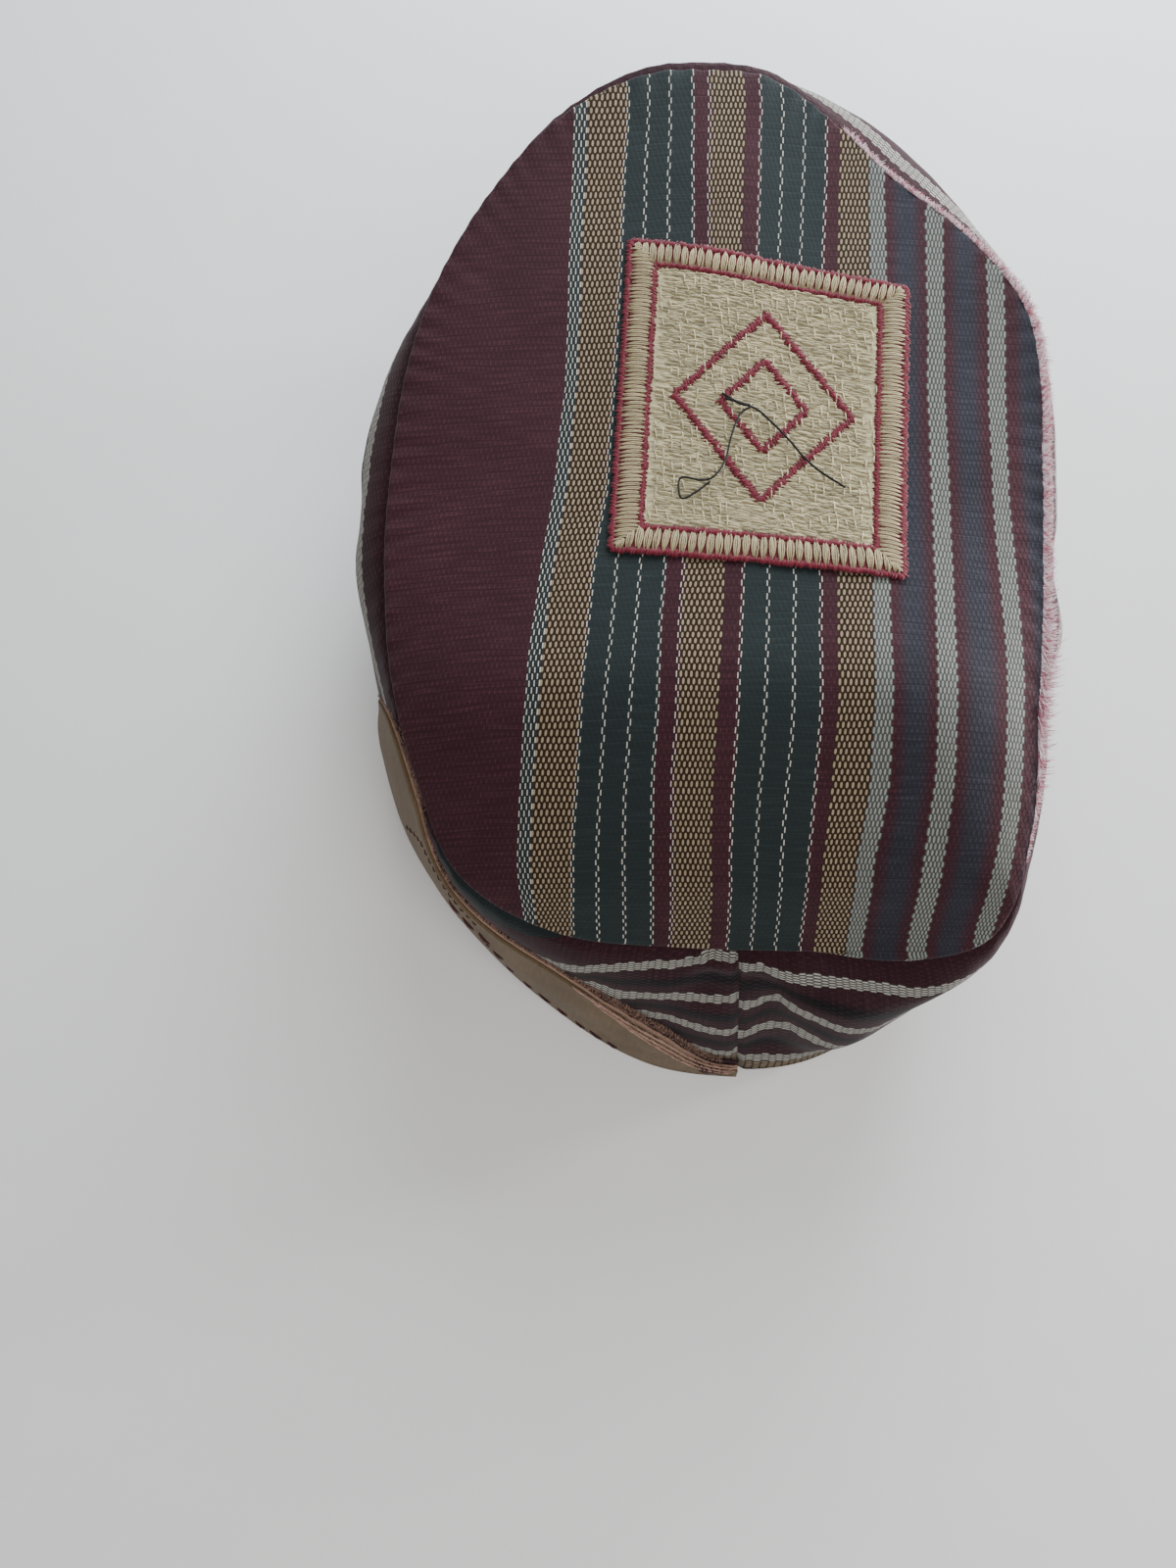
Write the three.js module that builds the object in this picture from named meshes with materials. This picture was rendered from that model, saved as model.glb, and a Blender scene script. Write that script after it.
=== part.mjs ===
// Aso oke cap: an oval crown panel sewn to a side band, a turned-up lined cuff and an embroidered patch.
// Millimetres. +Z is up, -Y is the front as worn, +X is the wearer's left. The rim stands on z = 0.
// A bearing is an angle seen from above: 0 is the back, 90 the wearer's left, 180 the front.
import * as THREE from "three";
import { mergeVertices } from "three/addons/utils/BufferGeometryUtils.js";

// Cloth
const CROWN_THICKNESS = 2.2;
const BAND_THICKNESS = 2.0;
const HEM_THICKNESS = 3.0;
const CUFF_THICKNESS = 3.0;
const PATCH_THICKNESS = 1.0;
const SEWN_GAP = 0.3;
const PATCH_GAP = 0.5;

// Crown: the seam runs from the back end to the front end of a chord, and the panel is domed above it.
const SEAM_BACK = { y: 105, z: 60 };
const SEAM_FRONT = { y: -105, z: 74 };
const SEAM_KEEP = 0.55; // share of the dome's height that is still there at the side seams
const RIDGE = { x: -3, halfWidth: 18, height: 2.0, startY: 0, fullY: -80 };

// Height of the crown along its middle, from the back seam to the front seam.
const CROWN_PROFILE = [
  { y: 105, z: 60 },
  { y: 101, z: 65 },
  { y: 92, z: 76.5 },
  { y: 74, z: 86 },
  { y: 55, z: 91.5 },
  { y: 38, z: 89.5 },
  { y: 10, z: 84.5 },
  { y: -40, z: 78 },
  { y: -75, z: 74.5 },
  { y: -105, z: 74 },
];

// Seen from above, by bearing: reach of the crown's seam from the middle, how far the band's shoulder stands
// out past it, reach of the rim, and height of the turned-up cuff.
const PLAN = [
  { bearing: -180, seam: 105, shoulder: 7, rim: 75, cuff: 0 },
  { bearing: -172, seam: 104, shoulder: 12, rim: 76, cuff: 0 },
  { bearing: -160, seam: 94, shoulder: 17.5, rim: 78, cuff: 0 },
  { bearing: -150, seam: 87.1, shoulder: 18, rim: 79, cuff: 0 },
  { bearing: -135, seam: 84.8, shoulder: 11.5, rim: 80, cuff: 0 },
  { bearing: -120, seam: 82.8, shoulder: 7.5, rim: 80, cuff: 0 },
  { bearing: -105, seam: 76.4, shoulder: 6.5, rim: 79, cuff: 0 },
  { bearing: -90, seam: 72.3, shoulder: 6.5, rim: 78, cuff: 0 },
  { bearing: -70, seam: 74.4, shoulder: 7, rim: 81, cuff: 0 },
  { bearing: -50, seam: 86.1, shoulder: 7, rim: 93, cuff: 0 },
  { bearing: -38, seam: 104.3, shoulder: 5, rim: 107, cuff: 0 },
  { bearing: -30, seam: 117.8, shoulder: 4.5, rim: 117, cuff: 0 },
  { bearing: -22, seam: 115.3, shoulder: 7, rim: 126.5, cuff: 0 },
  { bearing: -10, seam: 107.2, shoulder: 6, rim: 132, cuff: 0 },
  { bearing: 5, seam: 105.2, shoulder: 4, rim: 127.5, cuff: 24 },
  { bearing: 20, seam: 108, shoulder: 2, rim: 117, cuff: 43 },
  { bearing: 32, seam: 106.6, shoulder: 1.2, rim: 109.5, cuff: 54 },
  { bearing: 42, seam: 97, shoulder: 1.5, rim: 104, cuff: 72 },
  { bearing: 55, seam: 86.5, shoulder: 2, rim: 96.5, cuff: 66 },
  { bearing: 70, seam: 78, shoulder: 6, rim: 86.5, cuff: 10 },
  { bearing: 90, seam: 73, shoulder: 9, rim: 79, cuff: 0 },
  { bearing: 110, seam: 74.8, shoulder: 7, rim: 79, cuff: 0 },
  { bearing: 130, seam: 81.5, shoulder: 3, rim: 77, cuff: 0 },
  { bearing: 145, seam: 89.5, shoulder: 0, rim: 76, cuff: 0 },
  { bearing: 158, seam: 98.5, shoulder: 0, rim: 75, cuff: 0 },
  { bearing: 172, seam: 105, shoulder: 4, rim: 75, cuff: 0 },
];

// Folds and dents of the band: a line from one bearing at the seam to another at the rim, the half width in
// degrees, how far it pushes the cloth out, and the share of the band's height where it starts and ends.
const FOLDS = [
  { atSeam: 1, atRim: 1, width: 3, push: -3, start: 0.05, end: 0.45 },
  { atSeam: -4, atRim: -8.5, width: 3.5, push: -3.5, start: 0.05, end: 0.95 },
  { atSeam: -13, atRim: -15, width: 5, push: 2, start: 0.15, end: 0.9 },
  { atSeam: -54, atRim: -62, width: 5, push: -3.5, start: 0.05, end: 0.8 },
  { atSeam: -63, atRim: -74, width: 5, push: 0.8, start: 0.05, end: 0.9 },
  { atSeam: -74, atRim: -84, width: 5, push: -3, start: 0.05, end: 0.7 },
  { atSeam: 84, atRim: 96, width: 6, push: -2, start: 0.1, end: 0.8 },
  { atSeam: 122, atRim: 118, width: 7, push: -2, start: 0.2, end: 0.9 },
  { atSeam: -118, atRim: -112, width: 7, push: -2, start: 0.1, end: 0.8 },
];

// Band section: its top is tucked under the crown's edge, and its shoulder is fullest a little below the seam.
const TUCK = 0.95; // share of the seam's reach where the tucked edge lies
const TUCK_SAG = 0.7; // the tucked edge hangs this far below the crown's underside
const SHOULDER_AT = 0.24;
const RIM_SPREAD_POWER = 1.2;
const DROP_POWER = 1.25;
const HEM_STARTS = 0.85;

// Cuff: the stretch that is turned up, and how far its upper edge leans off the band.
const CUFF_FROM = -4;
const CUFF_TO = 76;
const CUFF_TAPER = 0.12; // share of its length over which each end tapers
const CUFF_END_HEIGHT = 3;
const CUFF_END_THICKNESS = 1;
const CUFF_LEAN = 0.8;

// Patch corners on the crown, seen from above.
const PATCH_CORNERS = {
  frontLeft: { x: 19.5, y: -56 },
  frontRight: { x: -44, y: -44 },
  backRight: { x: -37, y: 30 },
  backLeft: { x: 24.5, y: 24 },
};

// Mesh density
const AROUND = 96;
const CROWN_RINGS = [0.18, 0.35, 0.5, 0.64, 0.77, 0.87, TUCK, 1];
const BAND_STEPS = 12;
const CUFF_STEPS = { along: 36, up: 8 };
const PATCH_STEPS = 10;

const clamp01 = (value) => Math.min(Math.max(value, 0), 1);
const smooth = (value) => THREE.MathUtils.smoothstep(value, 0, 1);
const radians = THREE.MathUtils.degToRad;
const wrapped = (bearing) => THREE.MathUtils.euclideanModulo(bearing + 180, 360) - 180;

// A smooth curve through four neighbouring values at uneven places.
function throughFour(at, places, values) {
  const [before, low, high, after] = places;
  const span = high - low;
  const t = (at - low) / span;
  const slopeLow = ((values[2] - values[0]) / (high - before)) * span;
  const slopeHigh = ((values[3] - values[1]) / (after - low)) * span;
  const t2 = t * t;
  const t3 = t2 * t;
  return (
    values[1] * (2 * t3 - 3 * t2 + 1) +
    slopeLow * (t3 - 2 * t2 + t) +
    values[2] * (3 * t2 - 2 * t3) +
    slopeHigh * (t3 - t2)
  );
}

// One column of the plan at any bearing. The table closes on itself.
function plan(bearing, column) {
  const at = wrapped(bearing);
  const count = PLAN.length;
  let low = count - 1;
  while (PLAN[low].bearing > at) low -= 1;
  const near = [low - 1, low, low + 1, low + 2];
  const rows = near.map((row) => PLAN[THREE.MathUtils.euclideanModulo(row, count)]);
  const places = near.map((row, k) => rows[k].bearing + 360 * Math.floor(row / count));
  return throughFour(at, places, rows.map((row) => row[column]));
}

const chordZ = (y) => THREE.MathUtils.mapLinear(y, SEAM_BACK.y, SEAM_FRONT.y, SEAM_BACK.z, SEAM_FRONT.z);

// Height of the crown's middle line at y.
function middleZ(y) {
  const last = CROWN_PROFILE.length - 1;
  const at = THREE.MathUtils.clamp(y, SEAM_FRONT.y, SEAM_BACK.y);
  let low = 0;
  while (low < last - 1 && CROWN_PROFILE[low + 1].y > at) low += 1;
  const near = [Math.max(low - 1, 0), low, low + 1, Math.min(low + 2, last)];
  const rows = near.map((row) => CROWN_PROFILE[row]);
  return throughFour(at, rows.map((row) => row.y), rows.map((row) => row.z));
}

// Top of the crown at a bearing and a share of the seam's reach.
function crownTop(bearing, share) {
  const angle = radians(bearing);
  const reach = share * plan(bearing, "seam");
  const x = reach * Math.sin(angle);
  const y = reach * Math.cos(angle);
  const across = (share * Math.sin(angle)) ** 2;
  const along = (share * Math.cos(angle)) ** 2;
  const toSide = across / Math.max(1 - along, 1e-6);
  const dome = middleZ(y) - chordZ(y);
  const ridgeShape = Math.exp(-(((x - RIDGE.x) / RIDGE.halfWidth) ** 2)) * (1 - share ** 6);
  const ridge = RIDGE.height * ridgeShape * smooth((RIDGE.startY - y) / (RIDGE.startY - RIDGE.fullY));
  return new THREE.Vector3(x, y, chordZ(y) + dome * (1 - (1 - SEAM_KEEP) * clamp01(toSide)) + ridge);
}

// Top of the crown at a place seen from above.
function crownAt(x, y) {
  const bearing = THREE.MathUtils.radToDeg(Math.atan2(x, y));
  return crownTop(bearing, Math.hypot(x, y) / plan(bearing, "seam"));
}

// How far the folds push the band out at a bearing and a share of its height.
function foldPush(bearing, share) {
  let push = 0;
  for (const fold of FOLDS) {
    const line = THREE.MathUtils.lerp(fold.atSeam, fold.atRim, share);
    const off = wrapped(bearing - line) / fold.width;
    const ends = smooth((share - fold.start) / 0.15) * smooth((fold.end - share) / 0.2);
    push += fold.push * Math.exp(-(off ** 2)) * ends;
  }
  return push;
}

// Outside of the band at a bearing, as reach and height. Share 0 is the seam and share 1 the rim.
function bandSection(bearing, share) {
  const seam = plan(bearing, "seam");
  const seamZ = crownTop(bearing, 1).z - CROWN_THICKNESS - SEWN_GAP;
  const rising = Math.sin((Math.PI / 2) * clamp01(share / SHOULDER_AT));
  const falling = Math.cos((Math.PI / 2) * clamp01((share - SHOULDER_AT) / (1 - SHOULDER_AT)));
  const spread = (plan(bearing, "rim") - seam) * share ** RIM_SPREAD_POWER;
  const reach = seam + spread + plan(bearing, "shoulder") * rising * falling + foldPush(bearing, share);
  return new THREE.Vector2(reach, seamZ * (1 - share ** DROP_POWER));
}

// The band's tucked edge, under the crown.
function tuckSection(bearing) {
  const top = crownTop(bearing, TUCK);
  return new THREE.Vector2(Math.hypot(top.x, top.y), top.z - CROWN_THICKNESS - TUCK_SAG);
}

// Inside of the band: square to the outside, and level at the rim so that the hem stands flat.
function bandInside(bearing, share) {
  const outside = bandSection(bearing, share);
  if (share === 1) return new THREE.Vector2(outside.x - HEM_THICKNESS, 0);
  const step = 0.02;
  const before = share < step ? tuckSection(bearing) : bandSection(bearing, share - step);
  const after = bandSection(bearing, share + step);
  const along = after.sub(before).normalize();
  const hem = smooth((share - HEM_STARTS) / (1 - HEM_STARTS));
  const thickness = THREE.MathUtils.lerp(BAND_THICKNESS, HEM_THICKNESS, hem);
  return new THREE.Vector2(outside.x + along.y * thickness, outside.y - along.x * thickness);
}

function atBearing(bearing, section) {
  const angle = radians(bearing);
  return new THREE.Vector3(section.x * Math.sin(angle), section.x * Math.cos(angle), section.y);
}

// Only the positions are kept, and the vertices that share a place are joined.
function closedBody(geometry) {
  geometry.deleteAttribute("normal");
  geometry.deleteAttribute("uv");
  const body = mergeVertices(geometry, 1e-4);
  body.computeVertexNormals();
  return body;
}

// A lathe whose every vertex is moved: place gets the bearing and the profile point's own values.
function shapedLathe(profile, place) {
  const outline = profile.map((point) => new THREE.Vector2(point.share, point.layer));
  const geometry = new THREE.LatheGeometry(outline, AROUND);
  const position = geometry.attributes.position;
  for (let index = 0; index < position.count; index += 1) {
    const column = Math.floor(index / profile.length) % AROUND;
    const point = profile[index % profile.length];
    const moved = place((360 * column) / AROUND - 180, point);
    position.setXYZ(index, moved.x, moved.y, moved.z);
  }
  return closedBody(geometry);
}

// A sheet of box faces whose every vertex is moved: place gets along, up and outward, each from 0 to 1.
function shapedSheet(along, up, place) {
  const geometry = new THREE.BoxGeometry(1, 1, 1, along, up, 1);
  const position = geometry.attributes.position;
  for (let index = 0; index < position.count; index += 1) {
    const u = position.getX(index) + 0.5;
    const v = position.getY(index) + 0.5;
    const w = position.getZ(index) + 0.5;
    const moved = place(u, v, w);
    position.setXYZ(index, moved.x, moved.y, moved.z);
  }
  return closedBody(geometry);
}

function crownPanel() {
  const shares = [0, ...CROWN_RINGS];
  const top = shares.map((share) => ({ share, layer: 0 }));
  const underside = shares.map((share) => ({ share, layer: -1 })).reverse();
  const profile = [...top, ...underside];
  return shapedLathe(profile, (bearing, point) => {
    const place = crownTop(bearing, point.share);
    place.z += point.layer * CROWN_THICKNESS;
    return place;
  });
}

function sideBand() {
  const shares = Array.from({ length: BAND_STEPS + 1 }, (_, step) => step / BAND_STEPS);
  const outside = [{ share: -1, layer: 0 }, ...shares.map((share) => ({ share, layer: 0 }))];
  const inside = [...shares.map((share) => ({ share, layer: 1 })).reverse(), { share: -1, layer: 1 }];
  const profile = [...outside, ...inside, outside[0]];
  return shapedLathe(profile, (bearing, point) => {
    if (point.share < 0) {
      const tuck = tuckSection(bearing);
      tuck.y -= point.layer * BAND_THICKNESS;
      return atBearing(bearing, tuck);
    }
    const section = point.layer ? bandInside(bearing, point.share) : bandSection(bearing, point.share);
    return atBearing(bearing, section);
  });
}

// Share of the band's height at which it is a given height above the rim.
function shareAtHeight(bearing, height) {
  const seamZ = bandSection(bearing, 0).y;
  return (1 - clamp01(height / seamZ)) ** (1 / DROP_POWER);
}

function linedCuff() {
  return shapedSheet(CUFF_STEPS.along, CUFF_STEPS.up, (along, up, outward) => {
    const bearing = THREE.MathUtils.lerp(CUFF_TO, CUFF_FROM, along);
    const taper = smooth(Math.min(along, 1 - along) / CUFF_TAPER);
    const height = THREE.MathUtils.lerp(CUFF_END_HEIGHT, plan(bearing, "cuff"), taper) * up;
    const band = bandSection(bearing, shareAtHeight(bearing, height));
    const thickness = THREE.MathUtils.lerp(CUFF_END_THICKNESS, CUFF_THICKNESS, taper) * outward;
    return atBearing(bearing, new THREE.Vector2(band.x + SEWN_GAP + CUFF_LEAN * up + thickness, height));
  });
}

function embroideredPatch() {
  const { frontLeft, frontRight, backRight, backLeft } = PATCH_CORNERS;
  const between = (from, to, share) => THREE.MathUtils.lerp(from, to, share);
  return shapedSheet(PATCH_STEPS, PATCH_STEPS, (u, v, layer) => {
    const x = between(between(frontRight.x, frontLeft.x, u), between(backRight.x, backLeft.x, u), v);
    const y = between(between(frontRight.y, frontLeft.y, u), between(backRight.y, backLeft.y, u), v);
    const place = crownAt(x, y);
    place.z += PATCH_GAP + layer * PATCH_THICKNESS;
    return place;
  });
}

function cloth(name, geometry, color) {
  const mesh = new THREE.Mesh(geometry, new THREE.MeshStandardMaterial({ color, roughness: 0.9, metalness: 0 }));
  mesh.name = name;
  return mesh;
}

const cap = new THREE.Group();
cap.add(cloth("crown_panel", crownPanel(), 0x4a3438));
cap.add(cloth("side_band", sideBand(), 0x5a2f3c));
cap.add(cloth("lined_cuff", linedCuff(), 0x6e5f4c));
cap.add(cloth("embroidered_patch", embroideredPatch(), 0xc3b496));

// The origin is the bottom middle of the whole cap's box.
const box = new THREE.Box3().setFromObject(cap);
const middle = box.getCenter(new THREE.Vector3());
cap.position.set(-middle.x, -middle.y, -box.min.z);

export default cap;
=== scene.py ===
"""Aso oke cap: striped hand-woven crown and band, a turned-up lined cuff and an embroidered panel."""

import math
import random

import bmesh
import bpy
from bpy.props import FloatProperty, FloatVectorProperty, IntProperty, PointerProperty
from mathutils import Matrix, Vector, noise


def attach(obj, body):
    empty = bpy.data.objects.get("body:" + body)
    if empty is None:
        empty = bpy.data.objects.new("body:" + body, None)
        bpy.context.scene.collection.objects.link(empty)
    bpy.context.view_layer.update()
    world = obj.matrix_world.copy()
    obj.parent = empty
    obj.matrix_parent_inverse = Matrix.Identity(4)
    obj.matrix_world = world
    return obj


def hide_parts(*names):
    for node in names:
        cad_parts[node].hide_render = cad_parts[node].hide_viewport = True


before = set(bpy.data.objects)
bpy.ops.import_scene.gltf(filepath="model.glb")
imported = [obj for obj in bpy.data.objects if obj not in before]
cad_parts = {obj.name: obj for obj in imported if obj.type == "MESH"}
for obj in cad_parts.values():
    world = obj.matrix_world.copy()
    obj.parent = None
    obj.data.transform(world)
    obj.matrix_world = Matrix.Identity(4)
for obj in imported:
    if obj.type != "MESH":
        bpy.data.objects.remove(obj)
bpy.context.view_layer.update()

bl_info = {
    "name": "Aso oke cap",
    "version": (1, 0, 0),
    "blender": (4, 5, 0),
    "location": "View3D > Sidebar > Cap",
    "description": "Dresses the packed cap in striped cloth, lining and embroidery",
    "category": "Object",
}

MM = 0.001
# The cap's own middle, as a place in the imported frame
ORIGIN_X, ORIGIN_Y = -2.130, -10.896

# The cap's shape in millimetres and degrees. A bearing is 0 at the back and 90 at the wearer's left.
# The seam's ends are y, z, and it keeps a share of the middle line's rise at the sides.
SEAM_BACK = (105, 60)
SEAM_FRONT = (-105, 74)
SEAM_KEEP = 0.55
# The ridge comes in from the middle to the front, where it is full from one y on.
# Behind that it slants to the wearer's left, by a share of the way back.
RIDGE_X, RIDGE_HALF_WIDTH, RIDGE_HEIGHT, RIDGE_FULL_Y = -3, 17, 2.7, -80
RIDGE_SLANT = 0.2
CROWN_THICKNESS = 2.2
SEWN_GAP = 0.3

# y, z of the crown's middle line
CROWN_PROFILE = [
    (105, 60),
    (101, 65),
    (92, 76.5),
    (74, 86),
    (55, 91.5),
    (38, 89.5),
    (10, 84.5),
    (-40, 78),
    (-75, 74.5),
    (-105, 74),
]

# bearing, reach of the seam, fullness of the shoulder, reach of the rim, height of the cuff
PLAN = [
    (-180, 105, 7, 75, 0),
    (-172, 104, 12, 76, 0),
    (-160, 94, 17.5, 78, 0),
    (-150, 87.1, 18, 79, 0),
    (-135, 84.8, 11.5, 80, 0),
    (-120, 82.8, 7.5, 80, 0),
    (-105, 76.4, 6.5, 79, 0),
    (-90, 72.3, 6.5, 78, 0),
    (-70, 74.4, 7, 81, 0),
    (-50, 86.1, 7, 93, 0),
    (-38, 104.3, 5, 107, 0),
    (-30, 117.8, 4.5, 117, 0),
    (-22, 115.3, 7, 126.5, 0),
    (-10, 107.2, 6, 132, 0),
    (5, 105.2, 4, 127.5, 24),
    (20, 108, 2, 117, 43),
    (32, 106.6, 1.2, 109.5, 54),
    (42, 97, 1.5, 104, 72),
    (55, 86.5, 2, 96.5, 66),
    (70, 78, 6, 86.5, 10),
    (90, 73, 9, 79, 0),
    (110, 74.8, 7, 79, 0),
    (130, 81.5, 3, 77, 0),
    (145, 89.5, 0, 76, 0),
    (158, 98.5, 0, 75, 0),
    (172, 105, 4, 75, 0),
]
SEAM, SHOULDER, RIM, CUFF = 1, 2, 3, 4

# bearing at the seam and at the rim, half width, push, start and end as shares of the height
FOLDS = [
    (1, 1, 3, -3, 0.05, 0.45),
    (-4, -8.5, 3.5, -3.5, 0.05, 0.95),
    (-13, -15, 5, 2, 0.15, 0.9),
    (-54, -62, 5, -3.5, 0.05, 0.8),
    (-63, -74, 5, 0.8, 0.05, 0.9),
    (-74, -84, 5, -3, 0.05, 0.7),
    (84, 96, 6, -2, 0.1, 0.8),
    (122, 118, 7, -2, 0.2, 0.9),
    (-118, -112, 7, -2, 0.1, 0.8),
]
FOLD_STARTS_OVER, FOLD_ENDS_OVER = 0.15, 0.2
# The band's tucked top edge and its shoulder, as shares of the seam's reach and of the height
TUCK = 0.95
SHOULDER_AT = 0.24
SPREAD_POWER = 1.2
DROP_POWER = 1.25

CUFF_FROM, CUFF_TO = -4, 76
CUFF_TAPER = 0.12
CUFF_END_HEIGHT, CUFF_END_THICKNESS = 3, 1
CUFF_THICKNESS = 3.0

# Stripes of the crown's cloth, across the weave in millimetres,
# counted from the left edge of the first three white lines
STRIPES = [
    ("dark", -0.2, 2.7),
    ("khaki", 2.7, 10.9),
    ("dark", 10.9, 26.6),
    ("khaki", 31.0, 38.9),
    ("dark", 43.2, 59.0),
    ("khaki", 62.6, 70.0),
    ("grey", 70.0, 73.7),
    ("grey", 83.2, 87.3),
    ("grey", 98.6, 102.6),
]
WHITE_LINES = [0.1, 1.15, 2.2, 11.1, 16.0, 21.1, 26.4, 30.4, 43.0, 48.4, 53.7, 59.2]
NAVY_MIDDLES = [(78.5, 4.6), (92.9, 5.2), (108.5, 4.5)]

# x of some of the stripes' edges on the crown, by y, and the edges' places across the cloth
CROWN_EDGES = [
    (-93, (32.0, 20.0, 3.6, -8.5, -27.9, -42.0, -54.0, -68.0)),
    (-54, (33.1, 22.0, 4.5, -6.3, -25.0, -39.7, -51.2, -65.5)),
    (-17, (33.8, 23.8, 7.5, -3.8, -22.5, -37.0, -48.5, -62.4)),
    (8, (36.2, 25.5, 10.0, -1.5, -20.7, -35.0, -47.3, -61.1)),
    (27, (38.7, 28.3, 12.7, 0.5, -19.1, -33.9, -46.0, -60.7)),
    (50, (41.1, 30.4, 14.4, 2.5, -17.7, -32.4, -43.9, -60.0)),
    (74, (42.7, 32.0, 15.6, 3.8, -16.5, -31.7, -43.1, -58.8)),
    (88, (43.5, 33.0, 15.6, 3.9, -15.7, -29.4, -42.0, -57.5)),
    (101, (42.4, 32.8, 14.8, 2.6, -16.4, -30.0, -42.0, -56.0)),
]
EDGE_PLACES = (0, 10.6, 26.8, 39.2, 59.0, 73.6, 85.2, 100.8)

# The band's stripes, down from the crown's seam
BAND_STRIPES = [
    ("dark", -40, -5.0),
    ("grey", 8.1, 11.9),
    ("grey", 21.1, 24.9),
    ("grey", 34.1, 37.9),
    ("grey", 47.0, 50.2),
    ("khaki", 50.2, 56.4),
    ("dark", 61.6, 77.4),
    ("khaki", 81.4, 92.0),
]
BAND_WHITE_LINES = [61.4, 66.8, 72.1, 77.6]
BAND_MIDDLES = [(16.6, 2.8), (29.6, 2.8), (42.6, 2.6)]

# Places of the stripes' edges across the band's cloth, and how far down the band they lie, by bearing
LEVEL_PLACES = (8.1, 11.9, 21.1, 24.9, 34.1, 37.9, 47.0)
WIDE_FIRST_STRIPE = (6.6, 12.2, *LEVEL_PLACES[2:])
BAND_LEVELS = [
    (-180, LEVEL_PLACES),
    (-165, WIDE_FIRST_STRIPE),
    (-120, WIDE_FIRST_STRIPE),
    (-95, LEVEL_PLACES),
    (-40, LEVEL_PLACES),
    (-22, (7.8, 11.2, 24.0, 28.0, 42.0, 46.0, 55.0)),
    (-18, (6.0, 9.2, 30.0, 34.5, 45.0, 48.5, 55.5)),
    (-15, (5.8, 8.8, 26.0, 30.0, 43.0, 46.0, 55.5)),
    (-13.8, (5.8, 8.8, 23.9, 28.1, 40.0, 44.0, 56.0)),
    (-11, (5.1, 9.1, 19.3, 22.9, 32.5, 38.5, 56.5)),
    (-8.9, (5.2, 8.2, 16.6, 21.2, 29.4, 34.6, 55.8)),
    (-7, (4.6, 7.6, 13.7, 17.4, 32.5, 37.5, 54.3)),
    (-4.8, (2.5, 4.4, 19.3, 23.4, 35.8, 40.0, 53.3)),
    (-3.0, (2.8, 5.4, 19.1, 23.5, 38.3, 43.4, 52.5)),
    (-2.0, (1.0, 2.6, 15.6, 18.7, 33.9, 37.6, 49.0)),
    (1.0, (0.3, 1.9, 17.3, 19.9, 31.6, 36.0, 46.5)),
    (5, (2.6, 5.0, 15.6, 19.2, 28.5, 32.3, 43.5)),
    (8, (3.5, 6.1, 17.4, 21.6, 30.0, 35.6, 45.0)),
    (11, (4.8, 7.8, 19.6, 26.5, 34.0, 39.0, 47.0)),
    (14, (6.9, 11.2, 17.6, 25.3, 34.0, 40.0, 48.0)),
    (19, (14.0, 21.9, 27.0, 34.0, 38.0, 43.0, 50.0)),
    (28, (21.0, 26.0, 33.0, 38.0, 44.0, 48.0, 54.0)),
    (45, LEVEL_PLACES),
]
BACK_SEAM_TOP, BACK_SEAM_RIM = -2.0, -4.2
LEFT_OF_SEAM, RIGHT_OF_SEAM = -2.0, -3.0

# Corners of the embroidered panel on the crown
PANEL_FRONT_LEFT = (19.5, -56)
PANEL_FRONT_RIGHT = (-44, -44)
PANEL_BACK_RIGHT = (-37, 30)
PANEL_BACK_LEFT = (24.5, 24)


def srgb(red, green, blue):
    """A colour given as 0 to 255 screen values, in linear light."""
    shares = (red / 255, green / 255, blue / 255)
    return tuple(v / 12.92 if v <= 0.04045 else ((v + 0.055) / 1.055) ** 2.4 for v in shares)


class CapClothSettings(bpy.types.PropertyGroup):
    """Colours and weave of the striped cloth and its lining."""

    wine: FloatVectorProperty(name="Wine", description="Ground of the cloth", subtype="COLOR",
                              default=srgb(59, 35, 41))
    navy: FloatVectorProperty(name="Navy", description="Middle of the wide stripes", subtype="COLOR",
                              default=srgb(47, 47, 55))
    dark: FloatVectorProperty(name="Dark", description="Blue-black blocks", subtype="COLOR",
                              default=srgb(42, 49, 50))
    khaki: FloatVectorProperty(name="Khaki", description="Floats of the tan stripes", subtype="COLOR",
                               default=srgb(158, 143, 120))
    khaki_gap: FloatVectorProperty(name="Khaki gaps", description="Between the tan floats",
                                   subtype="COLOR", default=srgb(48, 34, 22))
    grey: FloatVectorProperty(name="Grey", description="Floats of the grey stripes", subtype="COLOR",
                              default=srgb(144, 147, 141))
    grey_gap: FloatVectorProperty(name="Grey gaps", description="Between the grey floats",
                                  subtype="COLOR", default=srgb(74, 76, 74))
    band_grey: FloatVectorProperty(name="Band grey", description="Floats of the band's pale stripes",
                                   subtype="COLOR", default=srgb(184, 179, 170))
    # Darker than the crown's navy, as painted shade on the band's wall
    band_middle: FloatVectorProperty(name="Band middle", description="Middle of the band's wide stripes",
                                     subtype="COLOR", default=srgb(31, 25, 29))
    white: FloatVectorProperty(name="White", description="Single white warp lines", subtype="COLOR",
                               default=srgb(196, 192, 182))
    lining: FloatVectorProperty(name="Lining", description="Plain beige lining", subtype="COLOR",
                                default=srgb(106, 88, 66))
    interlining: FloatVectorProperty(name="Interlining", description="Stiffening inside the cuff",
                                     subtype="COLOR", default=srgb(164, 134, 116))
    float_width: FloatProperty(name="Float width", description="Width of one warp float with its gap",
                               subtype="DISTANCE", default=1.11 * MM)
    float_length: FloatProperty(name="Float length", description="Length of one warp float",
                                subtype="DISTANCE", default=1.5 * MM)
    relief: FloatProperty(name="Relief", description="Height of the floats", subtype="DISTANCE",
                          default=0.16 * MM)


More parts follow.
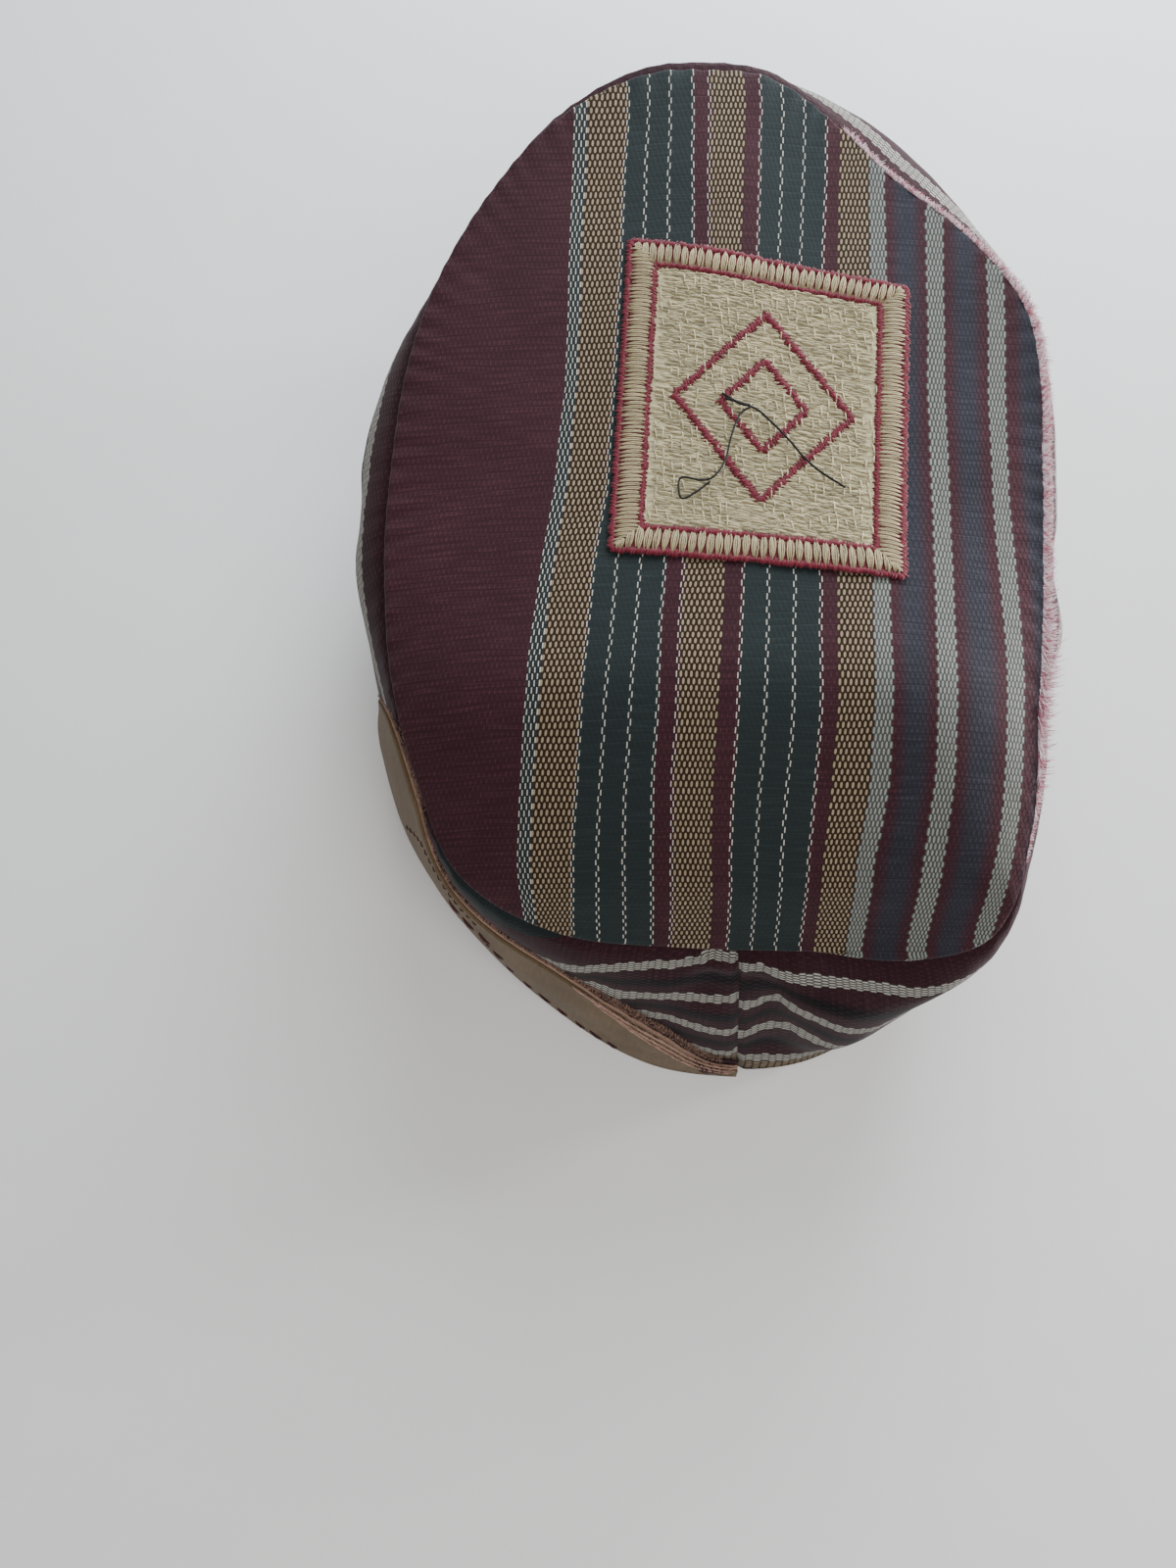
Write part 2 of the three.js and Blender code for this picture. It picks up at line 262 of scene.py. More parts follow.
class CapEmbroiderySettings(bpy.types.PropertyGroup):
    """Threads of the embroidered panel."""

    cream: FloatVectorProperty(name="Cream", description="Satin border", subtype="COLOR",
                               default=srgb(193, 178, 139))
    straw: FloatVectorProperty(name="Straw", description="Fill", subtype="COLOR",
                               default=srgb(215, 203, 165))
    burgundy: FloatVectorProperty(name="Burgundy", description="Outlines and lozenges", subtype="COLOR",
                                  default=srgb(122, 28, 48))
    # Darker than the fill, as painted shade that shows between the satin stitches
    under: FloatVectorProperty(name="Under the satin", description="Shows between the satin stitches",
                               subtype="COLOR", default=srgb(108, 50, 56))
    border: FloatProperty(name="Border", description="Width of the satin border", subtype="DISTANCE",
                          default=4.6 * MM)
    seed: IntProperty(name="Seed", description="Order of the uneven stitches", default=7)


class CapStageSettings(bpy.types.PropertyGroup):
    """Floor, lights and camera."""

    floor: FloatVectorProperty(name="Floor", description="Colour of the floor", subtype="COLOR",
                               default=(0.98, 0.98, 0.98))
    lens: FloatProperty(name="Lens", description="Focal length on a 36 mm wide sensor", default=28.26,
                        unit="CAMERA")
    key: FloatProperty(name="Key", description="Power of the light over the front", default=5.6,
                       unit="POWER")
    ambient: FloatProperty(name="Ambient", description="Strength of the surroundings", default=0.38)


def clamp(value, low=0.0, high=1.0):
    return min(max(value, low), high)


def smooth(value):
    value = clamp(value)
    return value * value * (3 - 2 * value)


def lerp(low, high, share):
    return low + (high - low) * share


def wrapped(bearing):
    return (bearing + 180) % 360 - 180


def through_four(at, places, values):
    """A smooth curve through four neighbouring values at uneven places."""
    before, low, high, after = places
    span = high - low
    t = (at - low) / span
    slope_low = (values[2] - values[0]) / (high - before) * span
    slope_high = (values[3] - values[1]) / (after - low) * span
    t2, t3 = t * t, t * t * t
    ends = values[1] * (2 * t3 - 3 * t2 + 1) + values[2] * (3 * t2 - 2 * t3)
    return ends + slope_low * (t3 - 2 * t2 + t) + slope_high * (t3 - t2)


def plan(bearing, column):
    """One column of the plan at any bearing."""
    at = wrapped(bearing)
    count = len(PLAN)
    low = count - 1
    while PLAN[low][0] > at:
        low -= 1
    near = range(low - 1, low + 3)
    places = [PLAN[k % count][0] + 360 * (k // count) for k in near]
    return through_four(at, places, [PLAN[k % count][column] for k in near])


def steps_between(at, rows):
    """The pair of rows that at lies between, and the share of the way from one to the other."""
    for low, high in zip(rows, rows[1:]):
        if at <= high[0]:
            return low, high, clamp((at - low[0]) / (high[0] - low[0]))
    return rows[-1], rows[-1], 0.0


def through_places(at, places, values):
    """Straight steps between the values, and a slope of one past both ends. Places run upwards."""
    if at <= places[0]:
        return values[0] + at - places[0]
    for k in range(1, len(places)):
        if at <= places[k]:
            share = (at - places[k - 1]) / (places[k] - places[k - 1])
            return lerp(values[k - 1], values[k], share)
    return values[-1] + at - places[-1]


def chord_z(y):
    share = (y - SEAM_BACK[0]) / (SEAM_FRONT[0] - SEAM_BACK[0])
    return lerp(SEAM_BACK[1], SEAM_FRONT[1], share)


def middle_z(y):
    """Height of the crown's middle line."""
    last = len(CROWN_PROFILE) - 1
    at = clamp(y, SEAM_FRONT[0], SEAM_BACK[0])
    low = 0
    while low < last - 1 and CROWN_PROFILE[low + 1][0] > at:
        low += 1
    rows = [CROWN_PROFILE[clamp(k, 0, last)] for k in range(low - 1, low + 3)]
    return through_four(at, [row[0] for row in rows], [row[1] for row in rows])


def crown_top(bearing, share):
    """Top of the crown at a bearing and a share of the seam's reach, as x, y, z."""
    angle = math.radians(bearing)
    reach = share * plan(bearing, SEAM)
    x, y = reach * math.sin(angle), reach * math.cos(angle)
    across = (share * math.sin(angle)) ** 2
    along = (share * math.cos(angle)) ** 2
    to_side = clamp(across / max(1 - along, 1e-6))
    dome = (middle_z(y) - chord_z(y)) * (1 - (1 - SEAM_KEEP) * to_side)
    off = (x - RIDGE_X - RIDGE_SLANT * (y - RIDGE_FULL_Y)) / RIDGE_HALF_WIDTH
    ridge = math.exp(-off * off) * (1 - share**6) * smooth(y / RIDGE_FULL_Y)
    return x, y, chord_z(y) + dome + RIDGE_HEIGHT * ridge


def crown_z(x, y):
    bearing = math.degrees(math.atan2(x, y))
    return crown_top(bearing, math.hypot(x, y) / plan(bearing, SEAM))[2]


def fold_push(bearing, share):
    """How far the band's folds move its wall out, all together."""
    push = 0.0
    for at_seam, at_rim, width, amount, start, end in FOLDS:
        off = wrapped(bearing - lerp(at_seam, at_rim, share)) / width
        begun = smooth((share - start) / FOLD_STARTS_OVER)
        push += amount * math.exp(-off * off) * begun * smooth((end - share) / FOLD_ENDS_OVER)
    return push


def band_section(bearing, share):
    """Outside of the band as reach and height. Share 0 is the seam and share 1 the rim."""
    seam = plan(bearing, SEAM)
    seam_z = crown_top(bearing, 1)[2] - CROWN_THICKNESS - SEWN_GAP
    rising = math.sin(math.pi / 2 * clamp(share / SHOULDER_AT))
    falling = math.cos(math.pi / 2 * clamp((share - SHOULDER_AT) / (1 - SHOULDER_AT)))
    reach = seam + (plan(bearing, RIM) - seam) * share**SPREAD_POWER
    reach += plan(bearing, SHOULDER) * rising * falling + fold_push(bearing, share)
    return reach, seam_z * (1 - share**DROP_POWER)


def share_at_height(bearing, height):
    return (1 - clamp(height / band_section(bearing, 0)[1])) ** (1 / DROP_POWER)


def place(x, y, z):
    """A point of the cap's own frame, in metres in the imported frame."""
    return Vector(((x + ORIGIN_X) * MM, (y + ORIGIN_Y) * MM, z * MM))


def from_middle(bearing, reach=1.0):
    """x and y of a point, from its bearing and its reach from the cap's middle."""
    angle = math.radians(bearing)
    return reach * math.sin(angle), reach * math.cos(angle)


def at_bearing(bearing, reach, height):
    return place(*from_middle(bearing, reach), height)


def ripple(x, y, z, size, seed=0.0):
    """Even noise from about -1 to 1, with soft lumps of the given size."""
    return noise.noise(Vector((x / size + seed, y / size - seed, z / size + 2 * seed)))


def seam_round():
    """Length round the crown's seam up to each whole bearing from -180."""
    lengths = [0.0]
    before = crown_top(-180, 1)
    for bearing in range(-179, 181):
        here = crown_top(bearing, 1)
        lengths.append(lengths[-1] + math.dist(before, here))
        before = here
    return lengths


ROUND = seam_round()


def round_length(bearing):
    """Length round the crown's seam up to any bearing, also past a whole turn."""
    turns = math.floor((bearing + 180) / 360)
    at = bearing + 180 - 360 * turns
    low = min(int(at), 359)
    return turns * ROUND[-1] + lerp(ROUND[low], ROUND[low + 1], at - low)


SHEEN_ROUGHNESS = 0.45


class Nodes:
    """Adds nodes to a material and joins them."""

    def __init__(self, name):
        self.material = bpy.data.materials.new(name)
        self.material.use_nodes = True
        self.tree = self.material.node_tree
        self.tree.nodes.clear()

    def put(self, socket, value):
        if isinstance(value, bpy.types.NodeSocket):
            self.tree.links.new(value, socket)
        elif hasattr(value, "__len__") and len(value) == 3 and socket.type == "RGBA":
            socket.default_value = (*value, 1)
        else:
            socket.default_value = value

    def node(self, kind, inputs=(), **settings):
        made = self.tree.nodes.new(kind)
        for key, value in settings.items():
            setattr(made, key, value)
        for key, value in dict(inputs).items():
            self.put(made.inputs[key], value)
        return made

    def math(self, operation, *values):
        made = self.node("ShaderNodeMath", operation=operation)
        for socket, value in zip(made.inputs, values):
            self.put(socket, value)
        return made.outputs[0]

    def ease(self, value, low, high, start=0.0, end=1.0):
        inputs = {"Value": value, "From Min": low, "From Max": high, "To Min": start, "To Max": end}
        return self.node("ShaderNodeMapRange", inputs, interpolation_type="SMOOTHSTEP").outputs[0]

    def within(self, value, low, high):
        return self.math("COMPARE", value, (low + high) / 2, (high - low) / 2)

    def either(self, shares):
        total = shares[0]
        for share in shares[1:]:
            total = self.math("MAXIMUM", total, share)
        return total

    def blend(self, share, low, high, kind="MIX"):
        made = self.node("ShaderNodeMix", data_type="RGBA", blend_type=kind)
        for index, value in ((0, share), (6, low), (7, high)):
            self.put(made.inputs[index], value)
        return made.outputs[2]

    def scaled(self, colour, amount):
        return self.blend(1.0, colour, amount, "MULTIPLY")

    def vector(self, x, y, z=0.0):
        return self.node("ShaderNodeCombineXYZ", {"X": x, "Y": y, "Z": z}).outputs[0]

    def spread(self, across, along, wide, long, z=0.0):
        """A place on the cloth as a vector, with its two ways scaled down."""
        return self.vector(self.math("DIVIDE", across, wide), self.math("DIVIDE", along, long), z)

    def attribute(self, name):
        made = self.node("ShaderNodeAttribute", attribute_name=name, attribute_type="GEOMETRY")
        return made.outputs["Fac"]

    def lumps(self, vector, scale, detail=2.0):
        inputs = {"Vector": vector, "Scale": scale, "Detail": detail}
        return self.node("ShaderNodeTexNoise", inputs).outputs["Fac"]

    def speckle(self, vector):
        return self.node("ShaderNodeTexWhiteNoise", {"Vector": vector}).outputs["Value"]

    def cloth_place(self):
        """Place on the cloth in millimetres, across the stripes and along them."""
        uv = self.node("ShaderNodeUVMap", uv_map="cloth").outputs[0]
        parts = self.node("ShaderNodeSeparateXYZ", {"Vector": uv}).outputs
        return parts[0], parts[1]

    def finish(self, colour, height, relief, roughness, sheen, specular=0.0):
        """The cloth or thread of that colour, with its relief as bump, as a whole material."""
        bump = self.node("ShaderNodeBump", {"Height": height, "Strength": 1.0, "Distance": relief})
        inputs = {"Base Color": colour, "Normal": bump.outputs[0], "Roughness": roughness,
                  "Specular IOR Level": specular, "Sheen Weight": sheen,
                  "Sheen Roughness": SHEEN_ROUGHNESS}
        shader = self.node("ShaderNodeBsdfPrincipled", inputs)
        output = self.node("ShaderNodeOutputMaterial")
        self.tree.links.new(shader.outputs[0], output.inputs["Surface"])
        return self.material


# Shape of one float and of the small painted highlight on it, as shares of its cell
FLOAT_LEAN = 0.05
FLOAT_SIDE_POWER, FLOAT_END_POWER = 2.4, 3.0
HIGHLIGHT_HALF_WIDTH, HIGHLIGHT_HALF_LENGTH = 0.17, 0.40


def warp_floats(nodes, across, along, width, length, full_width, full_length):
    """Rows of rounded warp floats, each second row shifted by half a float."""

    def off_middle(value, half, power):
        return nodes.math("POWER", nodes.math("ABSOLUTE", nodes.math("DIVIDE", value, half)), power)

    place_along = nodes.math("DIVIDE", along, length)
    row = nodes.math("FLOOR", place_along)
    odd = nodes.math("FLOORED_MODULO", row, 2.0)
    place_across = nodes.math("MULTIPLY_ADD", odd, 0.5, nodes.math("DIVIDE", across, width))
    column = nodes.math("FLOOR", place_across)
    in_row = nodes.math("SUBTRACT", place_along, nodes.math("ADD", row, 0.5))
    in_column = nodes.math("SUBTRACT", place_across, nodes.math("ADD", column, 0.5))
    in_column = nodes.math("MULTIPLY_ADD", in_row, FLOAT_LEAN, in_column)
    side = off_middle(in_column, full_width / 2, FLOAT_SIDE_POWER)
    end = off_middle(in_row, full_length / 2, FLOAT_END_POWER)
    full = nodes.ease(nodes.math("ADD", side, end), 0.35, 1.15, 1.0, 0.0)
    # The dot is a painted highlight along the middle of each float
    highlight_side = off_middle(in_column, HIGHLIGHT_HALF_WIDTH, 2.0)
    highlight_end = off_middle(in_row, HIGHLIGHT_HALF_LENGTH, 2.0)
    dot = nodes.ease(nodes.math("ADD", highlight_side, highlight_end), 0.3, 1.0, 1.0, 0.0)
    middle = nodes.math("MULTIPLY_ADD", odd, -0.5, nodes.math("ADD", column, 0.5))
    chance = nodes.speckle(nodes.vector(column, row))
    return {"full": full, "middle": nodes.math("MULTIPLY", middle, width), "odd": odd, "in_row": in_row,
            "chance": chance, "dot": dot}


# Millimetres that the weave wanders, across and along
SWAY, SLACK = 1.1, 2.2
# Filled share of a float's cell, across and along, for the khaki floats and the grey ones
WIDE_FLOAT, FINE_FLOAT = (0.56, 0.97), (0.60, 1.12)
# Width of the grey floats as a share of the khaki ones
FINE_WIDTH = 0.77
# Least light on a float
LEAST_KHAKI, LEAST_GREY = 0.82, 0.86
# The white lines' swing from row to row, and their half width
LINE_SWING, LINE_HALF_WIDTH = 0.46, 0.12


def striped_cloth(name, stripes, white_lines, middles, settings, middle_tone, grey_tone, shade):
    """The hand-woven cloth, with its stripes given across the weave."""
    nodes = Nodes(name)
    across, along = nodes.cloth_place()
    sway = nodes.math("SUBTRACT", nodes.lumps(nodes.spread(across, along, 14.0, 26.0), 1.0), 0.5)
    across = nodes.math("MULTIPLY_ADD", sway, SWAY, across)
    slack = nodes.math("SUBTRACT", nodes.lumps(nodes.spread(across, along, 22.0, 12.0, 3.7), 1.0), 0.5)
    along = nodes.math("MULTIPLY_ADD", slack, SLACK, along)
    width, length = settings.float_width / MM, settings.float_length / MM
    wide = warp_floats(nodes, across, along, width, length, *WIDE_FLOAT)
    fine = warp_floats(nodes, across, along, FINE_WIDTH * width, length, *FINE_FLOAT)
    line_side = nodes.math("SUBTRACT", across, LINE_SWING / 2)
    zigzag = nodes.math("MULTIPLY_ADD", wide["odd"], LINE_SWING, line_side)

    def stripe_mask(kind, value):
        found = [nodes.within(value, low, high) for stripe, low, high in stripes if stripe == kind]
        return nodes.either(found)

    streaks = nodes.lumps(nodes.spread(across, along, 9.0, 0.42), 1.0, 3.0)
    patches = nodes.lumps(nodes.spread(across, along, 30.0, 30.0), 1.0)
    near_middle = []
    for middle, reach in middles:
        off = nodes.math("ABSOLUTE", nodes.math("SUBTRACT", across, middle))
        near_middle.append(nodes.ease(off, 0.2 * reach, 0.92 * reach, 1.0, 0.0))
    ground = nodes.blend(nodes.either(near_middle), settings.wine, middle_tone)
    # Painted highlights on some of the floats lighten the ground
    float_highlights = nodes.math("MULTIPLY", wide["dot"], nodes.math("MULTIPLY_ADD", wide["chance"], 0.7, 0.3))
    ground_light = nodes.math("MULTIPLY_ADD", float_highlights, 0.75, 0.86)
    ground_light = nodes.math("MULTIPLY_ADD", nodes.ease(streaks, 0.40, 0.80), 0.58, ground_light)
    ground_light = nodes.math("MULTIPLY", ground_light, nodes.ease(patches, 0.3, 0.7, 0.90, 1.10))
    # shade is painted shade: it darkens the ground, 1 on the crown and less on the band's wall
    colour = nodes.scaled(ground, nodes.math("MULTIPLY", ground_light, shade))

    # The dark blocks take the same painted shade
    dark_light = nodes.math("MULTIPLY_ADD", nodes.ease(streaks, 0.45, 0.85), 0.55 * shade, 0.88 * shade)
    colour = nodes.blend(stripe_mask("dark", across), colour, nodes.scaled(settings.dark, dark_light))

    def float_colour(light, gap, floats, least):
        lit = nodes.scaled(light, nodes.math("MULTIPLY_ADD", floats["chance"], 1 - least, least))
        return nodes.blend(floats["full"], gap, lit)

    khaki = stripe_mask("khaki", wide["middle"])
    tan = float_colour(settings.khaki, settings.khaki_gap, wide, LEAST_KHAKI)
    colour = nodes.blend(khaki, colour, tan)
    grey = stripe_mask("grey", fine["middle"])
    colour = nodes.blend(grey, colour, float_colour(grey_tone, settings.grey_gap, fine, LEAST_GREY))
    half = LINE_HALF_WIDTH
    lines = nodes.either([nodes.within(zigzag, middle - half, middle + half) for middle in white_lines])
    dash = nodes.ease(nodes.math("ABSOLUTE", wide["in_row"]), 0.38, 0.49, 1.0, 0.0)
    white = nodes.math("MULTIPLY", lines, dash)
    colour = nodes.blend(white, colour, settings.white)

    soft = nodes.math("MULTIPLY", wide["full"], 0.30)
    strong = nodes.math("MULTIPLY", wide["full"], khaki)
    stronger = nodes.math("MULTIPLY", fine["full"], grey)
    height = nodes.either([soft, strong, stronger, nodes.math("MULTIPLY", white, 0.9)])
    height = nodes.math("MULTIPLY_ADD", streaks, 0.25, height)
    return nodes.finish(colour, height, settings.relief, 0.74, 0.07, specular=0.06)


# Millimetres from thread to thread of the lining, across and along
LINING_WARP, LINING_WEFT = 0.55, 0.6


def lining_cloth(name, settings):
    """Plain cotton lining with a fine even weave and a few slubs."""
    nodes = Nodes(name)
    across, along = nodes.cloth_place()
    warp = nodes.math("SINE", nodes.math("MULTIPLY", across, math.tau / LINING_WARP))
    weft = nodes.math("SINE", nodes.math("MULTIPLY", along, math.tau / LINING_WEFT))
    weave = nodes.math("MULTIPLY_ADD", nodes.math("MULTIPLY", warp, weft), 0.5, 0.5)
    slub = nodes.lumps(nodes.spread(across, along, 7.0, 0.8), 1.0, 3.0)
    cloud = nodes.lumps(nodes.spread(across, along, 18.0, 14.0), 1.0)
    light = nodes.math("MULTIPLY_ADD", weave, 0.16, nodes.ease(slub, 0.3, 0.8, 0.82, 1.02))
    light = nodes.math("MULTIPLY", light, nodes.ease(cloud, 0.3, 0.7, 0.88, 1.08))
    colour = nodes.scaled(settings.lining, light)
    return nodes.finish(colour, nodes.math("ADD", weave, slub), 0.07 * MM, 0.9, 0.1, specular=0.2)


def interlining_cloth(name, settings):
    """Brown stiffening cloth between the lining and the striped cloth."""
    nodes = Nodes(name)
    across, along = nodes.cloth_place()
    fibres = nodes.lumps(nodes.vector(across, nodes.math("DIVIDE", along, 0.5)), 1.2, 3.0)
    colour = nodes.scaled(settings.interlining, nodes.ease(fibres, 0.3, 0.75, 0.75, 1.1))
    return nodes.finish(colour, fibres, 0.12 * MM, 0.9, 0.1)


PLY_SCALE = 2600.0


def thread_material(name, colour, least, roughness, sheen):
    """Thread whose lightness follows each stitch's own tint, with the twist of its plies."""
    nodes = Nodes(name)
    tint = nodes.attribute("tint")
    where = nodes.node("ShaderNodeTexCoord").outputs["Object"]
    ply = nodes.lumps(where, PLY_SCALE, 1.0)
    light = nodes.math("MULTIPLY_ADD", tint, 1 - least, least)
    light = nodes.math("MULTIPLY", light, nodes.ease(ply, 0.3, 0.7, 0.84, 1.06))
    shade = nodes.scaled(colour, light)
    return nodes.finish(shade, ply, 0.05 * MM, roughness, sheen, specular=0.25)


def grid(columns, rows):
    """A flat grid from -1 to 1 both ways, whose vertices are then moved to their places."""
    bm = bmesh.new()
    bmesh.ops.create_grid(bm, x_segments=columns, y_segments=rows, size=1)
    bm.verts.index_update()
    return bm


def new_piece(name, bm, materials, smooth_faces=True):
    """A mesh object at the origin with its place in its mesh."""
    mesh = bpy.data.meshes.new(name)
    bm.to_mesh(mesh)
    bm.free()
    for material in materials:
        mesh.materials.append(material)
    mesh.shade_smooth() if smooth_faces else mesh.shade_flat()
    piece = bpy.data.objects.new(name, mesh)
    bpy.context.scene.collection.objects.link(piece)
    return piece


def solidified(piece, thickness, group=None, lining=True):
    """A wall of cloth. Its inner face takes the second material, and the group's weights thin it."""
    wall = piece.modifiers.new("wall", "SOLIDIFY")
    wall.thickness = thickness * MM
    wall.offset = -1.0
    if lining:
        wall.material_offset = 1
    if group:
        wall.vertex_group = group


def weigh(piece, name, weights):
    """Writes one weight for each vertex, and gives the group's name."""
    group = piece.vertex_groups.new(name=name)
    for index, weight in enumerate(weights):
        group.add([index], weight, "REPLACE")
    return name


def cloth_uv(bm, where):
    """Writes each face corner's place on the cloth, in millimetres, from its vertex's own."""
    layer = bm.loops.layers.uv.new("cloth")
    for face in bm.faces:
        for loop in face.loops:
            loop[layer].uv = where[loop.vert.index]


def outward(bm):
    bmesh.ops.recalc_face_normals(bm, faces=bm.faces[:])


# The crown

CROWN_CELLS = 148
CROWN_WALL, EDGE_WALL_SHARE = 2.0, 0.42
CROWN_LUMP, CROWN_LUMP_SIZE = 0.22, 17
ROLL_ROWS = 7
ROLL_RADIUS = 1.15
ROLL_TURN = 150
# Closeness of the weave at the crown's middle, and half of what it gains for each millimetre back
WEAVE_AT_MIDDLE, WEAVE_TO_BACK = 0.957, 0.00092
GATHER_DEPTH, GATHER_PITCH, GATHER_LENGTH = 0.30, 6.3, 5.0


def disc_place(a, b):
    """Share of the reach, and bearing, of a place on a square grid whose rings become the crown's."""
    share = max(abs(a), abs(b))
    if share < 1e-9:
        return 0.0, 0.0
    if abs(a) > abs(b):
        angle = math.pi / 4 * b / a + (0 if a > 0 else math.pi)
    else:
        angle = math.pi / 2 - math.pi / 4 * a / b + (0 if b > 0 else math.pi)
    return share, 90 - math.degrees(angle)


def crown_length(y):
    """Length along the crown's middle line from the middle to y."""
    steps = 24
    total = 0.0
    for k in range(steps):
        low, high = y * k / steps, y * (k + 1) / steps
        total += math.hypot(high - low, middle_z(high) - middle_z(low))
    return math.copysign(total, y)


def crown_along(y):
    """Place along the cloth. The weave is looser at the front than at the back."""
    length = crown_length(y)
    return WEAVE_AT_MIDDLE * length + WEAVE_TO_BACK * length**2


def crown_across(x, y):
    """Place across the cloth of a point on the crown."""
    low, high, share = steps_between(y, CROWN_EDGES)
    edges = [lerp(a, b, share) for a, b in zip(low[1], high[1])]
    return through_places(-x, [-edge for edge in edges], EDGE_PLACES)


def crown_edge(bearing, turn):
    """The rolled edge of the crown: turn 0 is where the roll starts, on top."""
    inner, edge = crown_top(bearing, 0.985), crown_top(bearing, 1.0)
    reach_in, reach_edge = math.hypot(*inner[:2]), math.hypot(*edge[:2])
    step = Vector((reach_edge - reach_in, edge[2] - inner[2])).normalized()
    up = Vector((-step.y, step.x))
    centre = Vector((reach_edge, edge[2])) - ROLL_RADIUS * (step + up)
    angle = math.radians(turn)
    return centre + ROLL_RADIUS * (math.cos(angle) * up + math.sin(angle) * step)


def pucker(bearing, distance):
    """Small gathers that the seam pulls into the cloth beside it."""
    length = round_length(bearing)
    wave = math.sin(math.tau * length / GATHER_PITCH + 2.5 * ripple(length, 0, 0, 16))
    return GATHER_DEPTH * wave * math.exp(-distance / GATHER_LENGTH)


def build_crown_cloth(settings):
    bm = grid(CROWN_CELLS, CROWN_CELLS)
    last_top = 1 - 2 * ROLL_ROWS / CROWN_CELLS
    where, weights = [], []
    for vert in bm.verts:
        share, bearing = disc_place(vert.co.x, vert.co.y)
        seam = plan(bearing, SEAM)
        if share <= last_top + 1e-9:
            top_share = share / last_top * (1 - ROLL_RADIUS / seam)
            x, y, z = crown_top(bearing, top_share)
            from_edge = seam * (1 - top_share)
            z += CROWN_LUMP * ripple(x, y, 0, CROWN_LUMP_SIZE) + pucker(bearing, from_edge)
            weights.append(lerp(EDGE_WALL_SHARE, 1.0, smooth((from_edge - 1.0) / 5.0)))
            where.append((crown_across(x, y), crown_along(y)))
        else:
            turn = (share - last_top) / (1 - last_top) * ROLL_TURN
            reach, z = crown_edge(bearing, turn)
            x, y = from_middle(bearing, reach)
            z += pucker(bearing, ROLL_RADIUS) * math.cos(math.radians(turn) / 2)
            past_x, past_y = from_middle(bearing, ROLL_RADIUS * (math.radians(turn) - 1))
            weights.append(EDGE_WALL_SHARE)
            where.append((crown_across(x, y) - past_x, crown_along(y) + past_y))
        vert.co = place(x, y, z)
    cloth_uv(bm, where)
    outward(bm)
    piece = new_piece("crown_cloth", bm, [crown_material(settings), lining_material(settings)])
    solidified(piece, CROWN_WALL, weigh(piece, "wall", weights))
    return piece


def made_once(name, make, *details):
    """The material of that name, made when it is first asked for."""
    return bpy.data.materials.get(name) or make(name, *details)


def crown_material(settings):
    stripes = (STRIPES, WHITE_LINES, NAVY_MIDDLES)
    tones = (settings.navy, settings.grey, 1.0)
    return made_once("aso oke, crown", striped_cloth, *stripes, settings, *tones)


def band_material(settings):
    stripes = (BAND_STRIPES, BAND_WHITE_LINES, BAND_MIDDLES)
    # This copy of the cloth is darkened as painted shade on the band's wall
    tones = (settings.band_middle, settings.band_grey, BAND_PAINTED_SHADE)
    return made_once("aso oke, band", striped_cloth, *stripes, settings, *tones)


def lining_material(settings):
    return made_once("cotton lining", lining_cloth, settings)


def interlining_material(settings):
    return made_once("interlining", interlining_cloth, settings)


# The band

BAND_AROUND = 440
# How much closer the columns stand at the centre back than even ones
BUNCHED = 0.72
# Thickness of the band's wall, and the share of it that is left at both edges
BAND_WALL, BAND_EDGE_SHARE = 1.9, 0.36
# Painted shade: the band's ground and dark blocks are darker than the crown's by this share, for the
# shade on its wall
BAND_PAINTED_SHADE = 0.72
WALL_ROWS = 46
ROW_POWER = 1.12
TUCK_DROP = 0.9
HEM_ROWS = 7
HEM_RADIUS = 1.5
HEM_TURN_UP = 3.0
WELT_BEARING, WELT_HALF_WIDTH = 168, 38
WELT_OUT, WELT_UP, WELT_DOWN, WELT_HALF_HEIGHT = 3.4, 2.0, 2.2, 1.5
# The groove under the crown's seam and the one along the centre-back seam
GROOVE_DEPTH, GROOVE_HEIGHT = 1.3, 1.1
BACK_GROOVE_DEPTH, BACK_GROOVE_WIDTH = 0.75, 0.8
# Height and size of the band's soft lumps, large and small
BAND_LUMP, BAND_LUMP_SIZE = 0.55, 21
SMALL_LUMP, SMALL_LUMP_SIZE = 0.2, 8
BAND_GATHER = 0.8


def back_seam(share):
    return lerp(BACK_SEAM_TOP, BACK_SEAM_RIM, share)


def band_across(bearing, down):
    """Place across the cloth of a point on the band, from its distance down from the seam."""
    low, high, share = steps_between(wrapped(bearing), BAND_LEVELS)
    levels = [lerp(a, b, share) for a, b in zip(low[1], high[1])]
    return through_places(down, levels, LEVEL_PLACES)


